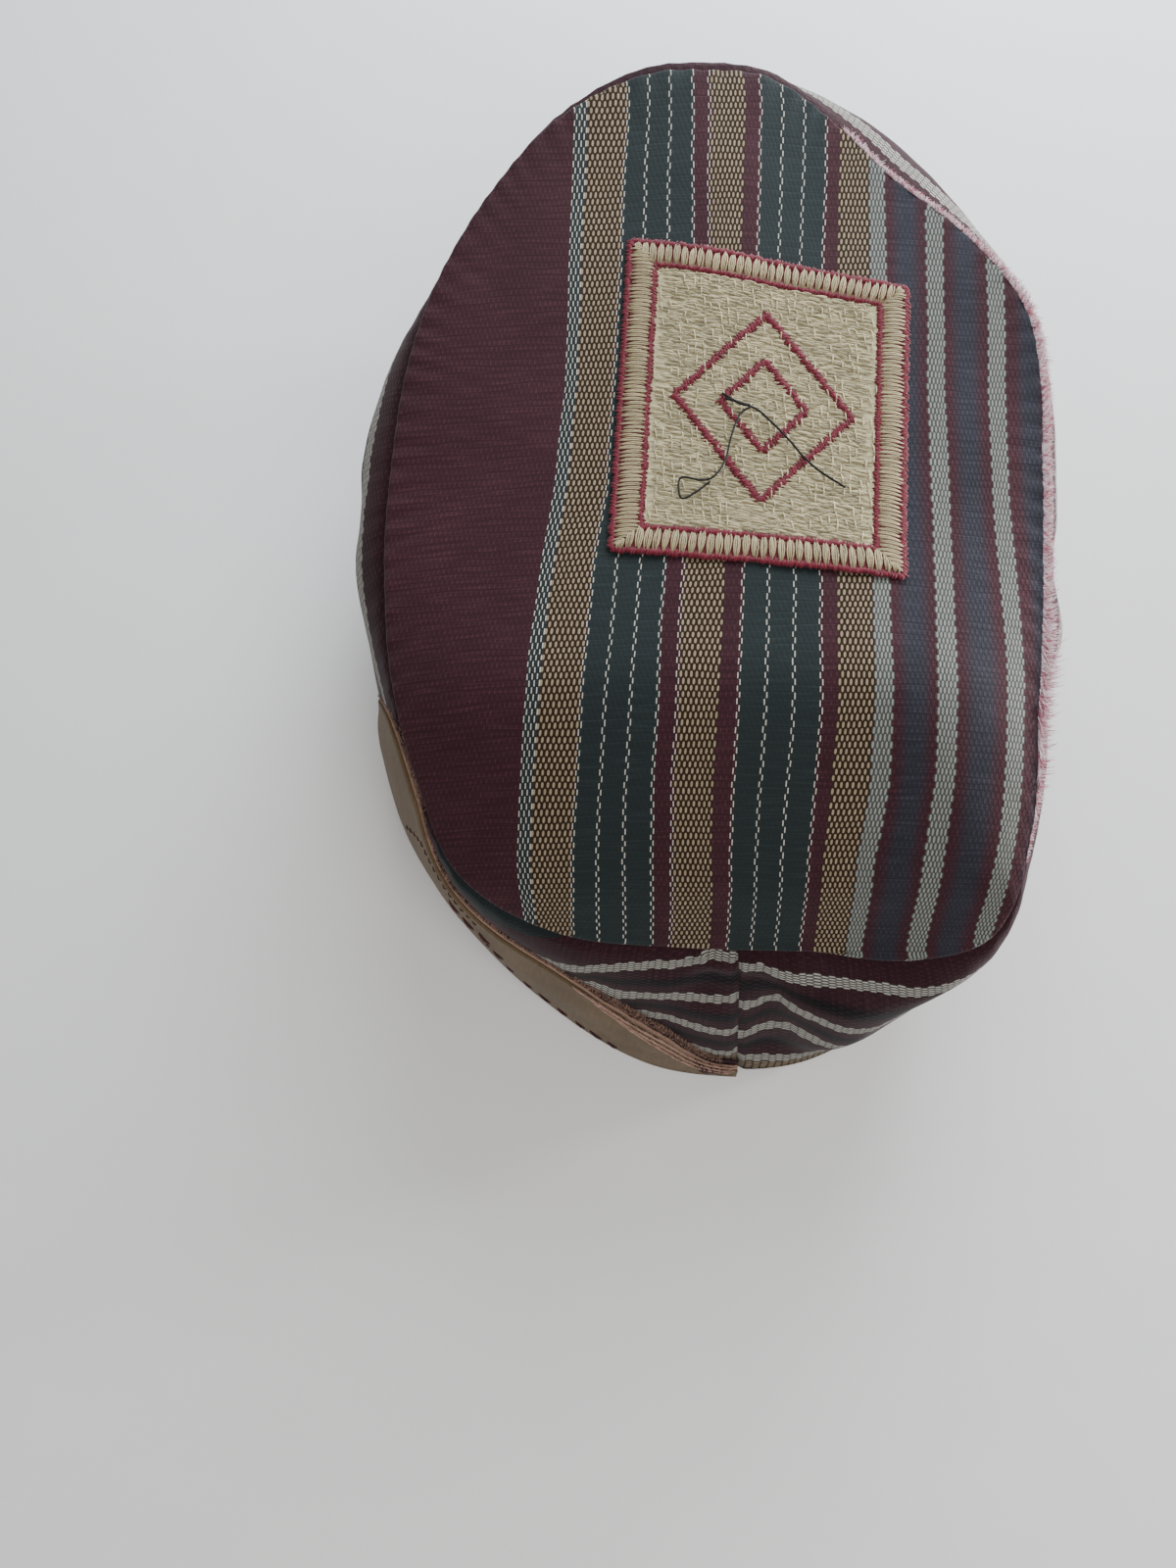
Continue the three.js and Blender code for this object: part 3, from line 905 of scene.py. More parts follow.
def band_column(turn):
    """One column of the band, tucked edge to hem, as bearing, reach, height and length down."""
    top = back_seam(0) + 360 * turn
    tuck_x, tuck_y, tuck_z = crown_top(top, TUCK)
    column = [(top, math.hypot(tuck_x, tuck_y), tuck_z - CROWN_THICKNESS - TUCK_DROP, 0.0)]
    down = 0.0
    before = None
    from_back_seam = min(turn, 1 - turn) * ROUND[-1]
    for row in range(WALL_ROWS + 1):
        share = (row / WALL_ROWS) ** ROW_POWER
        bearing = back_seam(share) + 360 * turn
        reach, height = band_section(bearing, share)
        here = Vector((reach, height))
        if before is not None:
            down += (here - before).length
        before = here
        x, y = from_middle(bearing, reach)
        inward = GROOVE_DEPTH * math.exp(-((down / GROOVE_HEIGHT) ** 2))
        back_groove = BACK_GROOVE_DEPTH * math.exp(-((from_back_seam / BACK_GROOVE_WIDTH) ** 2))
        inward += back_groove * smooth(down / 3)
        lumps = BAND_LUMP * ripple(x, y, height, BAND_LUMP_SIZE, 3.1)
        lumps += SMALL_LUMP * ripple(x, y, height, SMALL_LUMP_SIZE)
        loose = smooth((height - 1.5) / 8) * smooth(down / 4) * lumps
        gather = -BAND_GATHER * pucker(bearing, down) * smooth(down / 1.5)
        welt = smooth(1 - abs(wrapped(bearing - WELT_BEARING)) / WELT_HALF_WIDTH)
        welt *= math.exp(-(((down - WELT_DOWN) / WELT_HALF_HEIGHT) ** 2))
        reach += WELT_OUT * welt - inward + loose + gather
        column.append((bearing, reach, max(height + WELT_UP * welt, HEM_RADIUS), down))
    bearing, reach = column[-1][:2]
    for row in range(1, HEM_ROWS + 1):
        angle = math.pi * min(row / (HEM_ROWS - 1), 1)
        height = HEM_RADIUS * (1 - math.sin(angle)) if row < HEM_ROWS else HEM_RADIUS + HEM_TURN_UP
        inner = reach - HEM_RADIUS * (1 - math.cos(angle))
        column.append((bearing, inner, height, down + HEM_RADIUS * angle))
    return column


def build_band_cloth(settings):
    rows = WALL_ROWS + 1 + HEM_ROWS
    bm = grid(BAND_AROUND, rows)
    columns = {}
    where = []
    for vert in bm.verts:
        step = round((vert.co.x + 1) / 2 * BAND_AROUND)
        row = round((1 - vert.co.y) / 2 * rows)
        if step not in columns:
            even = step / BAND_AROUND
            columns[step] = band_column(even - BUNCHED * math.sin(math.tau * even) / math.tau)
        bearing, reach, height, down = columns[step][row]
        if row == 0:
            down = -(1 - TUCK) * plan(bearing, SEAM)
        left_side = step < BAND_AROUND // 2
        beside = max(bearing, LEFT_OF_SEAM) if left_side else min(bearing - 360, RIGHT_OF_SEAM)
        level = band_across(beside, max(down, 0))
        where.append((level + min(down, 0), round_length(bearing)))
        vert.co = at_bearing(bearing, reach, height)
    cloth_uv(bm, where)
    bmesh.ops.remove_doubles(bm, verts=bm.verts[:], dist=1e-6)
    outward_band(bm)
    piece = new_piece("band_cloth", bm, [band_material(settings), lining_material(settings)])
    solidified(piece, BAND_WALL, weigh(piece, "wall", band_weights(piece)))
    return piece


def band_weights(piece):
    """Full wall between the seam and the hem, and thinner at both."""
    found = []
    for vert in piece.data.vertices:
        x, y = vert.co.x / MM - ORIGIN_X, vert.co.y / MM - ORIGIN_Y
        bearing = math.degrees(math.atan2(x, y))
        top = band_section(bearing, 0)[1]
        height = vert.co.z / MM
        full = smooth((height - 2) / 6) * smooth((top + 0.4 - height) / 2.5)
        found.append(lerp(BAND_EDGE_SHARE, 1.0, full))
    return found


def outward_band(bm):
    """Turns the faces so that they point away from the middle of the cap."""
    outward(bm)
    middle = place(0, 0, 30)
    total = 0.0
    for face in bm.faces:
        total += (face.calc_center_median() - middle).dot(face.normal) * face.calc_area()
    if total < 0:
        bmesh.ops.reverse_faces(bm, faces=bm.faces[:])


# The turned-up cuff: three plies, from the outside inwards

CUFF_ALONG, CUFF_UP = 190, 36
CUFF_ROLL_ROWS = 6
CUFF_LOW_END = 8.5

# name, depth under the outside, thickness, how far its raw edge stops under the top, lean off the band
CUFF_PLIES = [
    ("cuff_lining", 0.0, 0.9, 1.3, 0.4),
    ("cuff_interlining", 0.95, 0.6, 0.5, 0.3),
    ("cuff_turned_cloth", 1.6, 0.6, -0.2, 0.2),
]
CUFF_LOW_END_SCALE = 0.6
CUFF_HIGH_TAPER = 0.5
# The cuff closes on the crown's seam above a share of its height, and its plies are squeezed there
CUFF_CLOSES_FROM, CUFF_CLOSES, CUFF_SQUEEZE = 0.55, 1.9, 0.25
# Past this bearing it closes further and bulges below, which comes in over a few degrees
UPPER_FROM, UPPER_OVER, UPPER_CLOSES, UPPER_BULGE = 34, 14, 0.9, 1.1
# The low end comes in below this bearing. Its plies stop lower and lie less evenly.
LOW_FROM, LOW_OVER, LOW_DROP, LOW_LUMP = 20, 14, 1.6, 0.45
# Height and size of the waves in the raw edges and of the lumps in the plies, large and small
RAGGED, RAGGED_SIZE, FRAY, FRAY_SIZE = 0.45, 5.5, 0.3, 1.3
PLY_LUMP, PLY_LUMP_SIZE, PLY_CREASE, PLY_CREASE_SIZE = 0.22, 17, 0.08, 5
# Each ply's fold at the rim: its radius past half the wall, for each millimetre of depth, and its turn
FOLD_MORE, FOLD_BY_DEPTH, FOLD_TURN = 0.35, 0.1, 1.3


def low_end(bearing):
    """How far a bearing lies towards the cuff's low end at the centre back."""
    return smooth((LOW_FROM - bearing) / LOW_OVER)


def cuff_place(bearing, share, depth=0.0, lean=0.4):
    """A point of the cuff as reach and height, the scale of its thickness there and its whole height."""
    along = (CUFF_TO - bearing) / (CUFF_TO - CUFF_FROM)
    taper = smooth(min(along, 1 - along) / CUFF_TAPER)
    end = CUFF_LOW_END if along > 0.5 else CUFF_END_HEIGHT
    full = lerp(end, plan(bearing, CUFF), taper)
    height = full * share
    thin = CUFF_LOW_END_SCALE if along > 0.5 else CUFF_END_THICKNESS / CUFF_THICKNESS
    scale = lerp(thin, 1, min(taper, smooth(along / CUFF_HIGH_TAPER)))
    reach = band_section(bearing, share_at_height(bearing, height))[0]
    closing = smooth((share - CUFF_CLOSES_FROM) / (1 - CUFF_CLOSES_FROM)) * (1 - 0.5 * low_end(bearing))
    squeeze = 1 - CUFF_SQUEEZE * closing
    upper = smooth((bearing - UPPER_FROM) / UPPER_OVER)
    closes = CUFF_CLOSES + UPPER_CLOSES * upper
    reach += SEWN_GAP + lean * share + (CUFF_THICKNESS - depth * squeeze - closes * closing) * scale
    reach += UPPER_BULGE * upper * (1 - closing) * smooth(share * 3) * scale
    return reach, height, scale * squeeze, full


def plain_across(height):
    """Keeps the turned cloth's raw edge in the plain wine stretch beside the cloth's edge."""
    return 1.0 + 0.08 * height


def ragged(bearing, seed):
    """How far a ply's raw edge stands up or down, in long waves and short ones."""
    length = round_length(bearing)
    waves = RAGGED * ripple(length, 0, 0, RAGGED_SIZE, seed)
    return waves + FRAY * ripple(length, 0, 0, FRAY_SIZE, seed)


def build_cuff_ply(name, depth, thickness, short, lean, material, seed):
    rows = CUFF_UP + CUFF_ROLL_ROWS
    bm = grid(CUFF_ALONG, rows)
    where, weights = [], []
    roll = (thickness + FOLD_MORE) / 2 + depth * FOLD_BY_DEPTH
    turned = name == "cuff_turned_cloth"
    for vert in bm.verts:
        bearing = lerp(CUFF_TO, CUFF_FROM, (vert.co.x + 1) / 2)
        row = round((vert.co.y + 1) / 2 * rows)
        share = max(row - CUFF_ROLL_ROWS, 0) / CUFF_UP
        low = low_end(bearing)
        drop = short * (1 + LOW_DROP * low) - ragged(bearing, seed)
        top = 1 - drop / max(cuff_place(bearing, 1.0)[3], 8)
        reach, height, scale = cuff_place(bearing, share * top, depth, lean)[:3]
        length = round_length(bearing)
        reach += LOW_LUMP * low * ripple(length * 2.5, height, 0, 7, seed) * smooth(share * 3)
        lumps = PLY_LUMP * ripple(length, height, 0, PLY_LUMP_SIZE, 5.5)
        lumps += PLY_CREASE * ripple(length, height, 0, PLY_CREASE_SIZE)
        reach += smooth(share * 3) * scale * lumps
        base = roll * scale
        if row < CUFF_ROLL_ROWS:
            angle = math.pi * 0.5 * (1 + (CUFF_ROLL_ROWS - row) / CUFF_ROLL_ROWS * FOLD_TURN)
            reach += base * (math.sin(angle) - 1)
            height = base * (1 + math.cos(angle))
        else:
            above = smooth(share * 12)
            height = max(height, base * above) + base * (1 - above)
        where.append((plain_across(height) if turned else height, length))
        weights.append(scale)
        vert.co = at_bearing(bearing, reach, height)
    cloth_uv(bm, where)
    outward_band(bm)
    piece = new_piece(name, bm, [material])
    solidified(piece, thickness, weigh(piece, "wall", weights), lining=False)
    return piece


# Threads: every stitch is a short tube of the same build, laid along its own run

def thread_blank(sides, rings):
    """A tube of the given rings, one unit apart and one unit in radius, closed at both ends."""
    bm = bmesh.new()
    bmesh.ops.create_circle(bm, cap_ends=False, segments=sides, radius=1)
    loop = bm.edges[:]
    for _ in range(1, rings):
        made = bmesh.ops.extrude_edge_only(bm, edges=loop)["geom"]
        fresh = [item for item in made if isinstance(item, bmesh.types.BMVert)]
        edges = [item for item in made if isinstance(item, bmesh.types.BMEdge)]
        loop = [edge for edge in edges if all(vert in fresh for vert in edge.verts)]
        bmesh.ops.translate(bm, verts=fresh, vec=(0, 0, 1))
    bmesh.ops.holes_fill(bm, edges=[edge for edge in bm.edges if edge.is_boundary], sides=0)
    outward(bm)
    mesh = bpy.data.meshes.new("thread blank")
    bm.to_mesh(mesh)
    bm.free()
    return mesh


def threads(name, runs, sides, material, flat=0.75):
    """One piece of many stitches. A run is its points, their radii, its tint and which way is up."""
    rings = len(runs[0][0])
    blank = thread_blank(sides, rings)
    corners = [(round(v.co.z), v.co.x, v.co.y) for v in blank.vertices]
    bm = bmesh.new()
    for _ in runs:
        bm.from_mesh(blank)
    bpy.data.meshes.remove(blank)
    tints = bm.verts.layers.float.new("tint")
    bm.verts.ensure_lookup_table()
    index = 0
    for points, radii, tint, up in runs:
        frames = []
        for ring in range(rings):
            ahead = points[min(ring + 1, rings - 1)] - points[max(ring - 1, 0)]
            side = ahead.cross(up).normalized()
            frames.append((side, side.cross(ahead).normalized()))
        for ring, x, y in corners:
            vert = bm.verts[index]
            side, above = frames[ring]
            vert.co = points[ring] + radii[ring] * (x * side + flat * y * above)
            vert[tints] = tint
            index += 1
    outward(bm)
    return new_piece(name, bm, [material])


UP = Vector((0, 0, 1))
# Rise of a stitch and share of its radius, from end to end
STITCH_BOW = (0.0, 0.72, 1.0, 0.72, 0.0)
STITCH_RADII = (0.62, 0.95, 1.0, 0.95, 0.62)
STITCH_RINGS = len(STITCH_BOW)


def stitch(start, end, radius, base, rise, tint, spread=(0.0, 0.0)):
    """A stitch over the crown between two places seen from above. It dips in at both ends."""
    points = []
    for k, bow in enumerate(STITCH_BOW):
        share = k / (STITCH_RINGS - 1)
        x = lerp(start[0], end[0], share) + spread[0] * bow
        y = lerp(start[1], end[1], share) + spread[1] * bow
        points.append(place(x, y, crown_z(x, y) + base + rise * bow))
    return points, [radius * MM * r for r in STITCH_RADII], tint, UP


def panel_point(u, v):
    """A place of the panel on the crown. u runs to the wearer's left and v to the back."""
    front = [lerp(a, b, u) for a, b in zip(PANEL_FRONT_RIGHT, PANEL_FRONT_LEFT)]
    back = [lerp(a, b, u) for a, b in zip(PANEL_BACK_RIGHT, PANEL_BACK_LEFT)]
    return lerp(front[0], back[0], v), lerp(front[1], back[1], v)


def sides_of(corners):
    """The sides of a closed outline, each as its two ends."""
    return list(zip(corners, corners[1:] + corners[:1]))


def inward_of(way):
    """Which way is in, for one step on along an outline."""
    return Vector((-way.y, way.x))


def panel_ring(inset):
    """Corners of the panel, moved in from its outline by inset millimetres."""
    places = (PANEL_FRONT_RIGHT, PANEL_FRONT_LEFT, PANEL_BACK_LEFT, PANEL_BACK_RIGHT)
    corners = [Vector(p) for p in places]
    moved = []
    for k, (corner, after) in enumerate(sides_of(corners)):
        inward_before = inward_of((corner - corners[k - 1]).normalized())
        bisector = (inward_before + inward_of((after - corner).normalized())).normalized()
        moved.append(corner + bisector * (inset / bisector.dot(inward_before)))
    return moved


def lozenge(share):
    """A lozenge about the panel's middle, as a share of the panel."""
    reach = 0.5 * share
    places = [(0.5, 0.5 - reach), (0.5 + reach, 0.5), (0.5, 0.5 + reach), (0.5 - reach, 0.5)]
    return [Vector(panel_point(u, v)) for u, v in places]


# The narrow satin of the outlines: from stitch to stitch, its lean, radius and height over the crown
OUTLINE_STEP, OUTLINE_LEAN, OUTLINE_RADIUS, OUTLINE_BASE = 0.31, 0.2, 0.23, 0.62
OUTLINE_UNEVEN = 0.45


def outline_runs(corners, width, chance, rise):
    """Narrow satin: close stitches across a line, whose ends are not quite even."""
    runs = []
    for corner, after in sides_of(corners):
        ahead = after - corner
        way = ahead.normalized()
        inward = inward_of(way)
        count = max(round(ahead.length / OUTLINE_STEP), 1)
        for k in range(count):
            spot = corner + ahead * ((k + 0.5) / count)
            out = width / 2 * (1 + OUTLINE_UNEVEN * chance.uniform(-1, 1))
            back = width / 2 * (1 + OUTLINE_UNEVEN * chance.uniform(-1, 1))
            tilt = way * (OUTLINE_LEAN + 0.1 * chance.uniform(-1, 1))
            start, end = spot - inward * out - tilt, spot + inward * back + tilt
            runs.append(stitch(start, end, OUTLINE_RADIUS, OUTLINE_BASE, rise, chance.random()))
    return runs


# The wide satin: threads of a lobe and their pitch, for the front, left, back and right side
SATIN_LOBES = [(4, 0.40), (2, 0.42), (4, 0.40), (2, 0.42)]
SATIN_GAP, SATIN_LEAN, SATIN_UNEVEN = 0.12, 1.2, 0.55
# Length of the first stitch at a corner, and how far the stitches pass the two outlines
SATIN_AT_CORNER, SATIN_PAST_INSIDE, SATIN_PAST_OUTSIDE = 0.9, 0.35, 0.2
SATIN_RADIUS, SATIN_BASE, SATIN_RISE = 0.185, 0.86, 0.5


def border_runs(outer, inner, settings, chance):
    """Wide satin between two outlines. Front and back are sewn in lobes of four, the sides in pairs."""
    runs = []
    width = settings.border / MM
    sizes = (SATIN_RADIUS, SATIN_BASE, SATIN_RISE)
    sides = zip(sides_of(outer), sides_of(inner), SATIN_LOBES)
    for (low_out, high_out), (low_in, high_in), (lobe_size, pitch) in sides:
        side = high_out - low_out
        length = (side.length + (high_in - low_in).length) / 2
        lobe_length = lobe_size * pitch + SATIN_GAP
        lobes = max(round(length / lobe_length), 1)
        along = side.length
        inward = Vector((low_out.y - high_out.y, high_out.x - low_out.x)) / along
        for lobe in range(lobes):
            middle = (lobe + 0.5) / lobes
            shade = 0.35 + 0.5 * chance.random()
            for thread in range(lobe_size):
                off = (thread - (lobe_size - 1) / 2) * pitch / (lobes * lobe_length)
                wide, narrow = middle + off, middle + off * 0.5
                start = low_out.lerp(high_out, clamp(narrow + 0.03 * chance.uniform(-1, 1) / lobes))
                depth = min(width, SATIN_AT_CORNER + min(narrow, 1 - narrow) * along)
                end = start + inward * (depth + SATIN_PAST_INSIDE)
                end += side * (SATIN_LEAN * (0.5 - narrow) / along)
                start -= inward * SATIN_PAST_OUTSIDE
                ends = (end - start).normalized() * SATIN_UNEVEN * chance.uniform(-1, 1)
                tint = clamp(shade + 0.25 * chance.uniform(-1, 1))
                bow = tuple(side * (wide - narrow))
                runs.append(stitch(start + ends, end + ends, *sizes, tint, bow))
    return runs


def inside(point, corners):
    return all((after - corner).cross(point - corner) > 0 for corner, after in sides_of(corners))


# The fill: rows across the panel, and short rows over them. Pitch, radius and height over the crown
FILL_PITCH, FILL_RADIUS, FILL_BASE = 0.56, 0.21, 0.52
OVER_PITCH, OVER_RADIUS, OVER_BASE, OVER_RISE = 1.9, 0.17, 0.85, 0.4
# Shortest and longest stitch, and the way on to the next one as a share of its length
FILL_LENGTHS, FILL_STEP, FILL_SLANT = (2.6, 4.8), 0.92, 0.18
OVER_LENGTHS, OVER_STEP, OVER_SHARE = (1.6, 3.4), 1.05, 0.55


def fill_runs(ring, chance):
    """Uneven rows of filling across the panel, with short rows over them the other way."""
    runs = []
    xs, ys = [c.x for c in ring], [c.y for c in ring]
    y = min(ys)
    while y < max(ys):
        x = min(xs) - chance.uniform(0, 3)
        while x < max(xs):
            length = chance.uniform(*FILL_LENGTHS)
            tilt = -FILL_SLANT + 0.12 * chance.uniform(-1, 1)
            start = Vector((x, y + 0.18 * chance.uniform(-1, 1) - FILL_SLANT * x))
            end = start + Vector((length, length * tilt))
            if inside(start, ring) and inside(end, ring):
                rise = 0.3 + 0.3 * chance.random()
                runs.append(stitch(start, end, FILL_RADIUS, FILL_BASE, rise, chance.random()))
            x += length * FILL_STEP
        y += FILL_PITCH
    x = min(xs)
    while x < max(xs):
        y = min(ys) - chance.uniform(0, 3)
        while y < max(ys):
            length = chance.uniform(*OVER_LENGTHS)
            start = Vector((x + 0.35 * chance.uniform(-1, 1), y))
            end = start + Vector((0.5 * chance.uniform(-1, 1), length))
            if chance.random() < OVER_SHARE and inside(start, ring) and inside(end, ring):
                tint = 0.55 + 0.45 * chance.random()
                runs.append(stitch(start, end, OVER_RADIUS, OVER_BASE, OVER_RISE, tint))
            y += length * OVER_STEP
        x += OVER_PITCH
    return runs


def edge_distance(point, corners):
    """Distance in from an outline of a point seen from above, in millimetres."""
    spot = Vector((point.x / MM - ORIGIN_X, point.y / MM - ORIGIN_Y))
    return min((after - corner).normalized().cross(spot - corner) for corner, after in sides_of(corners))


GROUND_COLUMNS, GROUND_ROWS = 70, 80
GROUND_HEIGHT, GROUND_WALL = 0.62, 0.5
GROUND_LUMP, GROUND_LUMP_SIZE = 0.12, 1.6


def build_panel_ground(settings):
    """The close ground of the fill, laid on the crown under the stitches."""
    bm = grid(GROUND_COLUMNS, GROUND_ROWS)
    under_satin = bm.verts.layers.float.new("under satin")
    corners = panel_ring(0)
    where = []
    for vert in bm.verts:
        x, y = panel_point((vert.co.x + 1) / 2, (vert.co.y + 1) / 2)
        rough = GROUND_LUMP * ripple(x, y, 0, GROUND_LUMP_SIZE, 9)
        vert.co = place(x, y, crown_z(x, y) + GROUND_HEIGHT + rough)
        vert[under_satin] = 1 - smooth(edge_distance(vert.co, corners) - settings.border / MM)
        where.append((x, y))
    cloth_uv(bm, where)
    outward(bm)
    piece = new_piece("panel_ground", bm, [ground_material(settings)])
    solidified(piece, GROUND_WALL, lining=False)
    return piece


def ground_material(settings):
    nodes = Nodes("embroidery ground")
    across, along = nodes.cloth_place()
    runs = nodes.lumps(nodes.spread(across, along, 2.4, 0.5), 1.0, 2.0)
    fill = nodes.scaled(settings.straw, nodes.ease(runs, 0.3, 0.75, 0.5, 0.95))
    # The ground under the satin is darker, as painted shade between its stitches
    colour = nodes.blend(nodes.attribute("under satin"), fill, settings.under)
    return nodes.finish(colour, runs, 0.25 * MM, 0.9, 0.1)


# Loose thread, as places seen from above on the crown
LOOSE_THREAD = [
    (-0.2, -14.1), (-4.0, -11.4), (-6.3, -10.6), (-3.9, -8.6), (-1.7, -2.7), (-0.3, 3.0),
    (2.2, 7.1), (5.2, 8.1), (9.3, 7.3), (9.8, 10.7), (9.0, 12.4), (6.3, 10.8), (3.1, 8.1),
]
LOOSE_BRANCH = [
    (-0.9, -12.8), (-6.3, -10.6), (-9.2, -8.2), (-13.3, -3.3), (-16.2, 0.8), (-19.8, 4.9), (-25.7, 9.1),
]
LOOSE_RINGS = 60
LOOSE_RADIUS, LOOSE_HEIGHT, LOOSE_TINT = 0.24, 1.75, 0.5


def curve_through(places, count):
    """Evenly counted points on a smooth line through the places."""
    points = []
    last = len(places) - 1
    for k in range(count):
        at = k / (count - 1) * last
        low = min(int(at), last - 1)
        steps = range(low - 1, low + 3)
        near = [places[clamp(n, 0, last)] for n in steps]
        points.append([through_four(at, steps, [spot[axis] for spot in near]) for axis in (0, 1)])
    return points


def loose_run(places, lift, seed):
    """A thread that lies on the embroidery and lifts off it between its ends."""
    points = []
    for k, (x, y) in enumerate(curve_through(places, LOOSE_RINGS)):
        share = k / (LOOSE_RINGS - 1)
        sag = lift * math.sin(math.pi * share) * (0.7 + 0.5 * ripple(x, y, 0, 4, seed))
        points.append(place(x, y, crown_z(x, y) + LOOSE_HEIGHT + sag))
    return points, [LOOSE_RADIUS * MM] * LOOSE_RINGS, LOOSE_TINT, UP


# Raw fibres along the crown's seam on the wearer's right, and at the cuff's raw edges. The pale seam
# fibres are near-white and many, as painted glow along the seam.

FIBRE_COUNT, FIBRES_FROM, FIBRES_TO = 9600, -160, -36
FIBRE_LEAST, FIBRE_MORE, PALE_SHARE = 1.2, 1.7, 0.6
# The fibres are longest round one bearing and shorter at the front
LONG_FIBRES_AT, LONG_FIBRES_WITHIN, LONG_FIBRES_GAIN = -53, 17, 0.65
FRONT_FIBRES_FROM, FRONT_FIBRES_LOSS = -120, 0.4
FIBRE_RADII = (0.09, 0.085, 0.06, 0.035)
FRINGE_COUNT, FRINGE_RADII = 4200, (0.09, 0.085, 0.07, 0.04)


def seam_fibres(chance):
    """The seam's fibres as runs: the pale ones, near-white as painted glow, and the red ones."""
    pale, red = [], []
    for _ in range(FIBRE_COUNT):
        bearing = chance.uniform(FIBRES_FROM, FIBRES_TO)
        reach, z = crown_edge(bearing, chance.uniform(10, 115))
        reach += 0.1
        out = FIBRE_LEAST + FIBRE_MORE * chance.random() ** 1.3
        out *= 0.3 + 0.7 * smooth((FIBRES_TO - 1 - bearing) / 8)
        front = smooth((FRONT_FIBRES_FROM - bearing) / 20)
        long = smooth(1 - abs(bearing - LONG_FIBRES_AT) / LONG_FIBRES_WITHIN)
        out *= 1 - FRONT_FIBRES_LOSS * front + LONG_FIBRES_GAIN * long
        slope = chance.uniform(-0.5, 0.55)
        swing = chance.uniform(-0.9, 0.9)
        points = []
        for k in range(len(FIBRE_RADII)):
            share = k / (len(FIBRE_RADII) - 1)
            turn = bearing + math.degrees(swing * share * out / reach)
            away = out * share * (1 - 0.25 * share)
            points.append(at_bearing(turn, reach + away, z + slope * out * share**1.6))
        run = (points, [r * MM for r in FIBRE_RADII], chance.random(), UP)
        (pale if chance.random() < PALE_SHARE else red).append(run)
    return pale, red


def cuff_fringe(chance):
    """Threads that stand out of the turned cloth's raw edge."""
    runs = []
    for _ in range(FRINGE_COUNT):
        bearing = chance.uniform(CUFF_FROM + 2, CUFF_TO - 14)
        reach, height = cuff_place(bearing, 1.0, chance.uniform(1.2, 2.1), 0.2)[:2]
        rise = chance.uniform(0.6, 2.4)
        lean = chance.uniform(-1.7, 0.5)
        swing = chance.uniform(-0.6, 0.6)
        points = []
        for k in range(len(FRINGE_RADII)):
            share = k / (len(FRINGE_RADII) - 1)
            turn = bearing + math.degrees(swing * share / reach)
            points.append(at_bearing(turn, reach + lean * share, height - 0.5 + (rise + 0.4) * share))
        away = Vector((*from_middle(bearing), 0))
        runs.append((points, [r * MM for r in FRINGE_RADII], chance.random(), away))
    return runs


# Hand stitches of the cuff, as bearing and share of its height
CUFF_DASHES = [
    (10.3, 0.08), (12.4, 0.09), (14.5, 0.1), (17, 0.12), (19.5, 0.16), (22, 0.21), (24.5, 0.35),
    (26, 0.6), (28, 0.72), (30.5, 0.72), (32.8, 0.74),
]
CUFF_DOTS = [(27.5, 0.66), (29.5, 0.9), (32.5, 0.92), (35.5, 0.92), (39, 0.86), (41, 0.77), (43, 0.68)]
CUFF_TACK_BEARINGS = (-2.4, 1.6)
# Each dash is three strands, so many millimetres above its place
DASH_STRANDS, DASH_RADIUS = (-0.3, 0.35, 1.0), 0.36
DOT_STEP, DOT_HALF_TURN, DOT_RADIUS = 0.95, 0.34, 0.2
TACK_COUNT, TACK_RADIUS = 14, 0.2


def cuff_stitch(start, end, radius, tint):
    """A stitch on the cuff's lining between two places, as bearing and share of the height."""
    points = []
    for k, bow in enumerate(STITCH_BOW):
        at = k / (STITCH_RINGS - 1)
        bearing, share = lerp(start[0], end[0], at), clamp(lerp(start[1], end[1], at), 0.02, 0.97)
        reach, height = cuff_place(bearing, share)[:2]
        points.append(at_bearing(bearing, reach - 0.12 + 0.42 * bow, height))
    away = Vector((*from_middle((start[0] + end[0]) / 2), 0))
    return points, [radius * MM * r for r in STITCH_RADII], tint, away


def cuff_stitches(chance):
    runs = []
    for bearing, share in CUFF_DASHES:
        reach, _, _, full = cuff_place(bearing, share)
        turn = math.degrees(chance.uniform(1.4, 1.9) / reach)
        slope = chance.uniform(0.4, 0.9) / full
        for strand in DASH_STRANDS:
            middle = share + strand / full
            first, last = (bearing - turn, middle - slope), (bearing + turn, middle + slope)
            runs.append(cuff_stitch(first, last, DASH_RADIUS, chance.random()))
    bearing = CUFF_DOTS[0][0]
    while bearing < CUFF_DOTS[-1][0]:
        low, high, between = steps_between(bearing, CUFF_DOTS)
        share = lerp(low[1], high[1], between)
        first, last = (bearing - DOT_HALF_TURN, share), (bearing + DOT_HALF_TURN, share)
        runs.append(cuff_stitch(first, last, DOT_RADIUS, chance.random()))
        bearing += DOT_STEP
    for _ in range(TACK_COUNT):
        bearing = chance.uniform(*CUFF_TACK_BEARINGS)
        foot = (lerp(bearing, CUFF_TACK_BEARINGS[0], 0.6), chance.uniform(0.05, 0.3))
        head = (bearing, chance.uniform(0.7, 0.95))
        runs.append(cuff_stitch(foot, head, TACK_RADIUS, chance.random()))
    return runs


# Raw edges of the plies that spread over the cuff's low end, from end to end
LOW_EDGES = [((16.5, 0.97), (-2.5, 0.88)), ((14, 0.92), (-2.5, 0.7)), ((10.5, 0.86), (-2.5, 0.52))]
LOW_EDGE_THREADS, LOW_EDGE_RADIUS = 190, 0.14


